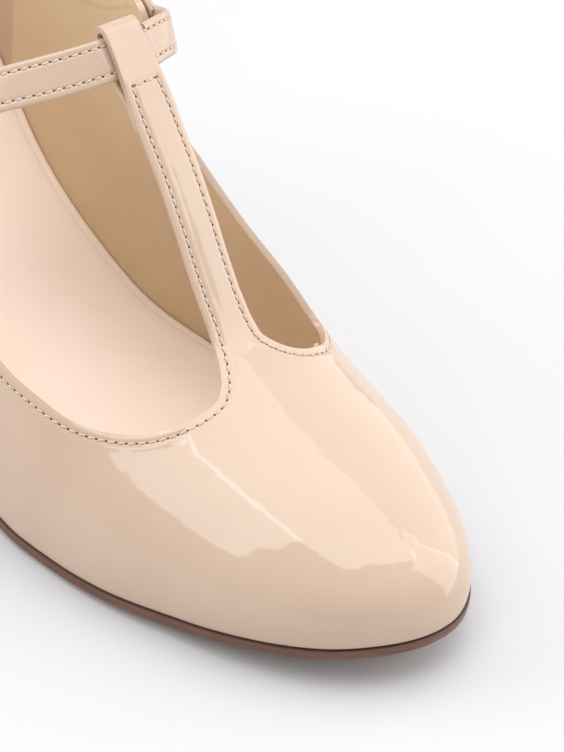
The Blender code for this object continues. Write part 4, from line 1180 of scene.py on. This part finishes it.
# %% The strap and its stitches
END_ROUND = 0.0055
END_CURVE = 2.2
END_BLUNT = 0.04
LINED_FACES = slice(57, 71)
length = distances(strap_line)
to_end = np.clip((length[-1] - length) / END_ROUND, 0, 1)
strap_narrow = np.sqrt(np.clip(1 - (1 - to_end) ** END_CURVE, END_BLUNT, 1))
strap_grid = carried(strap_line, strap_across, ring, strap_narrow)
ring_numbers = np.zeros(len(ring) - 1, int)
ring_numbers[LINED_FACES] = 1
strap = piece("instep_strap_leather", [(strap_grid, ring_numbers[None, :])] + ends(strap_grid),
              [satin, grip], outward=True)
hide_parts("instep_strap")
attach(strap, "root")


SEAM_SINK = 0.00020


def strap_seam(side, first, last):
    """A stitch line on the strap's face, with the way out of it."""
    _, way, out = frames(strap_line, strap_across)
    offset = side * (STRAP_WIDTH / 2 - STRAP_INSET)
    line = strap_line + way * offset + out * (STRAP_THICKNESS / 2 - SEAM_SINK)
    return line[first:last], out[first:last]


edge_rows = [strap_seam(side, 4, len(strap_line) - 12) for side in (-1, 1)]
closing = np.linspace(edge_rows[0][0][0], edge_rows[1][0][0], 8)[1:-1]
edge_rows.append((closing, np.tile(edge_rows[0][1][0], (len(closing), 1))))
strap_stitches = sewn("strap_stitches", edge_rows)
print("strap stitches:", len(strap_stitches.data.polygons), "faces")

# %% [markdown]
# The buckle's frame is bent from gold wire: a rounded rim with a bar across it, set low so that
# the strap lies over the bar. A wire is a circle carried along a path.

# %% The buckle's frame


def on_run(x, y, z):
    """World points of the fastening: across the run, up the run and out of it."""
    x, y, z = np.broadcast_arrays(*(np.asarray(value, float) for value in (x, y, z)))
    return RUN_ORIGIN + x[..., None] * TAB_SIDE + y[..., None] * TAB_UP + z[..., None] * TAB_OUT


def wire(path, radius, side, sides=14):
    """A round wire along a path; radius may change along it, and side is square to the path."""
    ahead = unit(np.gradient(path, axis=0))
    first = unit(side - ahead * (ahead @ side)[:, None])
    second = np.cross(ahead, first)
    turn = np.linspace(0, 2 * math.pi, sides + 1)
    round_it = first[:, None] * np.cos(turn)[:, None] + second[:, None] * np.sin(turn)[:, None]
    return path[:, None] + round_it * np.broadcast_to(radius, len(path))[:, None, None]


def rounded_path(width, height, radius, steps=10):
    """Corners of a rectangle as arcs, closed, about its middle."""
    turn = np.radians(np.concatenate([np.linspace(start, start + 90, steps)
                                      for start in (0, 90, 180, 270)]))
    cx = np.repeat([1, -1, -1, 1], steps) * (width / 2 - radius)
    cy = np.repeat([1, 1, -1, -1], steps) * (height / 2 - radius)
    loop = np.stack([cx + radius * np.cos(turn), cy + radius * np.sin(turn)], -1)
    return np.concatenate([loop, loop[:1]])


FOLD = BUCKLE_WIRE + GAP + TAB_THICKNESS / 2
BAR_DEPTH = STRAP_THICKNESS / 2 + GAP + FOLD
LEVEL = STRAP_THICKNESS / 2 + GAP + BUCKLE_WIRE
BUCKLE_HALF = STRAP_WIDTH / 2 + GAP + BUCKLE_WIRE

rim = rounded_path(2 * BUCKLE_HALF, BUCKLE_LENGTH, BUCKLE_CORNER)
rim_path = on_run(rim[:, 0], rim[:, 1] + BUCKLE_AT, LEVEL)
rim_grid = wire(rim_path, BUCKLE_WIRE, TAB_OUT)
rim_grid[-1] = rim_grid[0]
arc = np.linspace(0, math.pi / 2, 8)
inwards, upwards = BUCKLE_BEND * (1 - np.cos(arc)), BUCKLE_BEND * (1 - np.sin(arc))
leg_x = np.concatenate([[-BUCKLE_HALF], inwards - BUCKLE_HALF,
                        BUCKLE_HALF - inwards[::-1], [BUCKLE_HALF]])
leg_z = np.concatenate([[LEVEL], upwards - BAR_DEPTH, upwards[::-1] - BAR_DEPTH, [LEVEL]])
leg_path = on_run(leg_x, BUCKLE_AT, leg_z)
leg_grid = wire(leg_path, BUCKLE_WIRE, TAB_UP)
buckle = piece("buckle_wire", [rim_grid, leg_grid] + ends(leg_grid), [gold], outward=True)
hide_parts("buckle_frame")
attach(buckle, "root")
print("buckle frame:", len(buckle.data.polygons), "faces")

# %% [markdown]
# The prong goes from the bar through the strap's hole and rests on the rim. It tapers to its
# point, and a short sleeve holds it on the bar.

# %% The buckle's prong
TIP = LEVEL + BUCKLE_WIRE + GAP + PRONG_RADIUS
# the prong's path: up the run from the bar, and out of the run
PRONG_PATH = ((0.0004, -BAR_DEPTH + 0.0009), (0.0010, -0.0006), (0.0015, 0.0008),
              (0.0022, TIP - 0.0008), (0.0032, TIP - 0.0002), (0.0045, TIP), (0.0065, TIP),
              (0.0075, TIP - 0.0002))
PRONG_TAPER = ((0, 1), (5, 1), (6.6, 0.72), (7, 0.45))
knots = np.arange(len(PRONG_PATH))
fine = np.linspace(0, knots[-1], 50)
prong_y, prong_z = (np.interp(fine, knots, column) for column in np.array(PRONG_PATH).T)
prong_path = on_run(0.0, prong_y + BUCKLE_AT, prong_z)
taper = PRONG_RADIUS * np.interp(fine, *np.array(PRONG_TAPER).T)
prong_grid = wire(prong_path, taper, TAB_SIDE)
turn = np.linspace(0, 2 * math.pi, 33)
sleeve_in, sleeve_out, sleeve_half = BUCKLE_WIRE + 0.0001, FOLD - 0.0002, 0.00085
sleeve_ring = [(sleeve_in, -sleeve_half), (sleeve_out, -sleeve_half), (sleeve_out, sleeve_half),
               (sleeve_in, sleeve_half), (sleeve_in, -sleeve_half)]
sleeve_grid = np.stack([on_run(x, BUCKLE_AT + r * np.cos(turn), -BAR_DEPTH + r * np.sin(turn))
                        for r, x in sleeve_ring], 1)
prong = piece("buckle_pin", [prong_grid, sleeve_grid] + ends(prong_grid), [gold], outward=True)
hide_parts("buckle_prong")
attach(prong, "root")
print("prong:", len(prong.data.polygons), "faces")

# %% [markdown]
# The tab is a thin strip of the same leather, folded round the bar, with both ends sewn to the
# quarter. The keeper is a narrow hoop round tab and strap. Both are soft sections carried along
# their paths.

# %% Tab and keeper


def soft_ring(width, thickness):
    """Profile of a folded strip: flat faces with round edges."""
    a, b = width / 2, thickness / 2
    turn = np.linspace(-math.pi / 2, math.pi / 2, 9)
    right = np.stack([a - b + b * np.cos(turn), b * np.sin(turn)], -1)
    return np.concatenate([right, -right, right[:1]])


TAB_SEAM = 0.00005
TAB_END_ROUND = 0.0006
TAB_FOLD_START = 0.004
LAYER = TAB_THICKNESS / 2 - TAB_SEAM
under_z = -(STRAP_THICKNESS / 2 + GAP) - TAB_THICKNESS + LAYER / 2
upper_z = -(STRAP_THICKNESS / 2 + GAP) - LAYER / 2
bend = BUCKLE_WIRE + GAP + LAYER / 2
fold_turn = np.linspace(-math.pi / 2, math.pi / 2, 24)
lower_y = np.linspace(TAB_START + TAB_END_ROUND, BUCKLE_AT - TAB_FOLD_START, 30)
tab_y = np.concatenate([lower_y, BUCKLE_AT + bend * np.cos(fold_turn), lower_y[::-1]])
tab_z = np.concatenate([np.full_like(lower_y, under_z), -BAR_DEPTH + bend * np.sin(fold_turn),
                        np.full_like(lower_y, upper_z)])
tab_line = on_run(0.0, tab_y, tab_z)
tab_grid = carried(tab_line, np.tile(TAB_SIDE, (len(tab_line), 1)), soft_ring(TAB_WIDTH, LAYER))
tab = piece("buckle_tab", [tab_grid] + ends(tab_grid), [satin], outward=True)
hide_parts("outer_tab")
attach(tab, "root")

through = STRAP_THICKNESS + TAB_THICKNESS + 3 * GAP
hoop = rounded_path(STRAP_WIDTH + 2 * GAP + KEEPER_THICKNESS, through + KEEPER_THICKNESS,
                    KEEPER_CORNER)
hoop_line = on_run(hoop[:, 0], KEEPER_AT, hoop[:, 1] - (TAB_THICKNESS + GAP) / 2)
hoop_grid = carried(hoop_line, np.tile(TAB_UP, (len(hoop_line), 1)),
                    soft_ring(KEEPER_WIDTH, KEEPER_THICKNESS))
hoop_grid[-1] = hoop_grid[0]
keeper = piece("keeper_loop", [hoop_grid], [satin], outward=True)
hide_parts("strap_keeper")
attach(keeper, "root")
print("tab and keeper:", len(tab.data.polygons), "and", len(keeper.data.polygons), "faces")

# %% [markdown]
# The stage is a wide pale floor under an even white sky, so the shoe lies in soft light and
# casts a soft shadow. The patent film mirrors whatever stands round it, so large lit panels
# decide where the shoe is bright.

# %% Floor and light
floor_paint = Paint("studio_floor")
floor_paint.set(Base_Color=(0.63, 0.63, 0.64), Roughness=0.75, Specular_IOR_Level=0.1)
FLOOR_HALF = 4.0
corners = np.array([[[-1, -1, 0], [1, -1, 0]], [[-1, 1, 0], [1, 1, 0]]]) * FLOOR_HALF
floor = piece("studio_floor", [corners.astype(float)], [floor_paint.material])

world = bpy.data.worlds.new("studio")
bpy.context.scene.world = world
world.use_nodes = True
sky = world.node_tree.nodes["Background"].inputs
sky["Color"].default_value = (0.97, 0.98, 1.0, 1.0)
sky["Strength"].default_value = 0.74


def stand(item, place, side, up, back):
    """Put a light or a camera at a place; side, up and back are its own x, y and z."""
    bpy.context.scene.collection.objects.link(item)
    rows = [[side[i], up[i], back[i], place[i]] for i in range(3)]
    item.matrix_world = Matrix([*rows, [0, 0, 0, 1]])


def panel(name, place, target, size, radiance):
    """A lit panel at a place, facing a target; its power is 4 x radiance x area."""
    light = bpy.data.lights.new(name, "AREA")
    light.shape = "RECTANGLE"
    light.size, light.size_y = size
    light.energy = 4 * radiance * size[0] * size[1]
    way = -unit(np.array(target) - np.array(place))
    side = unit(np.cross([0, 1.0, 0] if abs(way[2]) > 0.99 else [0, 0, 1.0], way))
    stand(bpy.data.objects.new(name, light), place, side, np.cross(way, side), way)


panel("top_panel", (0.125, -0.005, 1.0), (0.125, -0.005, 0.0), (0.85, 0.91), 1.70)
panel("toe_panel", (-0.66, -0.105, 0.80), (-0.66, -0.105, 0.0), (0.92, 0.19), 1.70)
panel("front_panel", (0.95, -0.79, 1.00), (0.0, -0.05, 1.00), (0.87, 2.00), 1.5)
panel("right_panel", (0.95, -0.08, 0.85), (0.0, -0.08, 0.85), (0.66, 1.70), 0.85)
panel("back_panel", (-0.85, 0.95, 0.60), (-0.05, -0.05, 0.05), (1.00, 1.10), 2.0)

# %% [markdown]
# The camera looks down at the toe from its outer side, like the photographer's, with a long
# lens that keeps the toe from looking large. Its place is a distance and two angles about the
# point that it looks at, and a small roll tilts the picture as in the photograph.

# %% Camera
TARGET = np.array([0.02562, -0.04988, 0.020])
DISTANCE = 0.46889
AZIMUTH, ELEVATION, ROLL = np.radians([-45.19, 38.16, 4.7])
right = np.array([math.cos(AZIMUTH), math.sin(AZIMUTH), 0])
back = np.array([math.sin(AZIMUTH) * math.cos(ELEVATION), -math.cos(AZIMUTH) * math.cos(ELEVATION),
                 math.sin(ELEVATION)])
up = np.cross(back, right)
rolled_right = math.cos(ROLL) * right + math.sin(ROLL) * up
rolled_up = math.cos(ROLL) * up - math.sin(ROLL) * right
camera = bpy.data.cameras.new("photo_camera")
camera.sensor_fit = "VERTICAL"
camera.sensor_height = 36
camera.lens = 103.5
camera.clip_start, camera.clip_end = 0.01, 20
eye = bpy.data.objects.new("photo_camera", camera)
spot = TARGET + back * DISTANCE
stand(eye, spot, rolled_right, rolled_up, back)
bpy.context.scene.camera = eye
bpy.context.scene.view_settings.view_transform = "Standard"
print("camera at", np.round(spot, 3))

# %% Finish
bpy.context.view_layer.update()
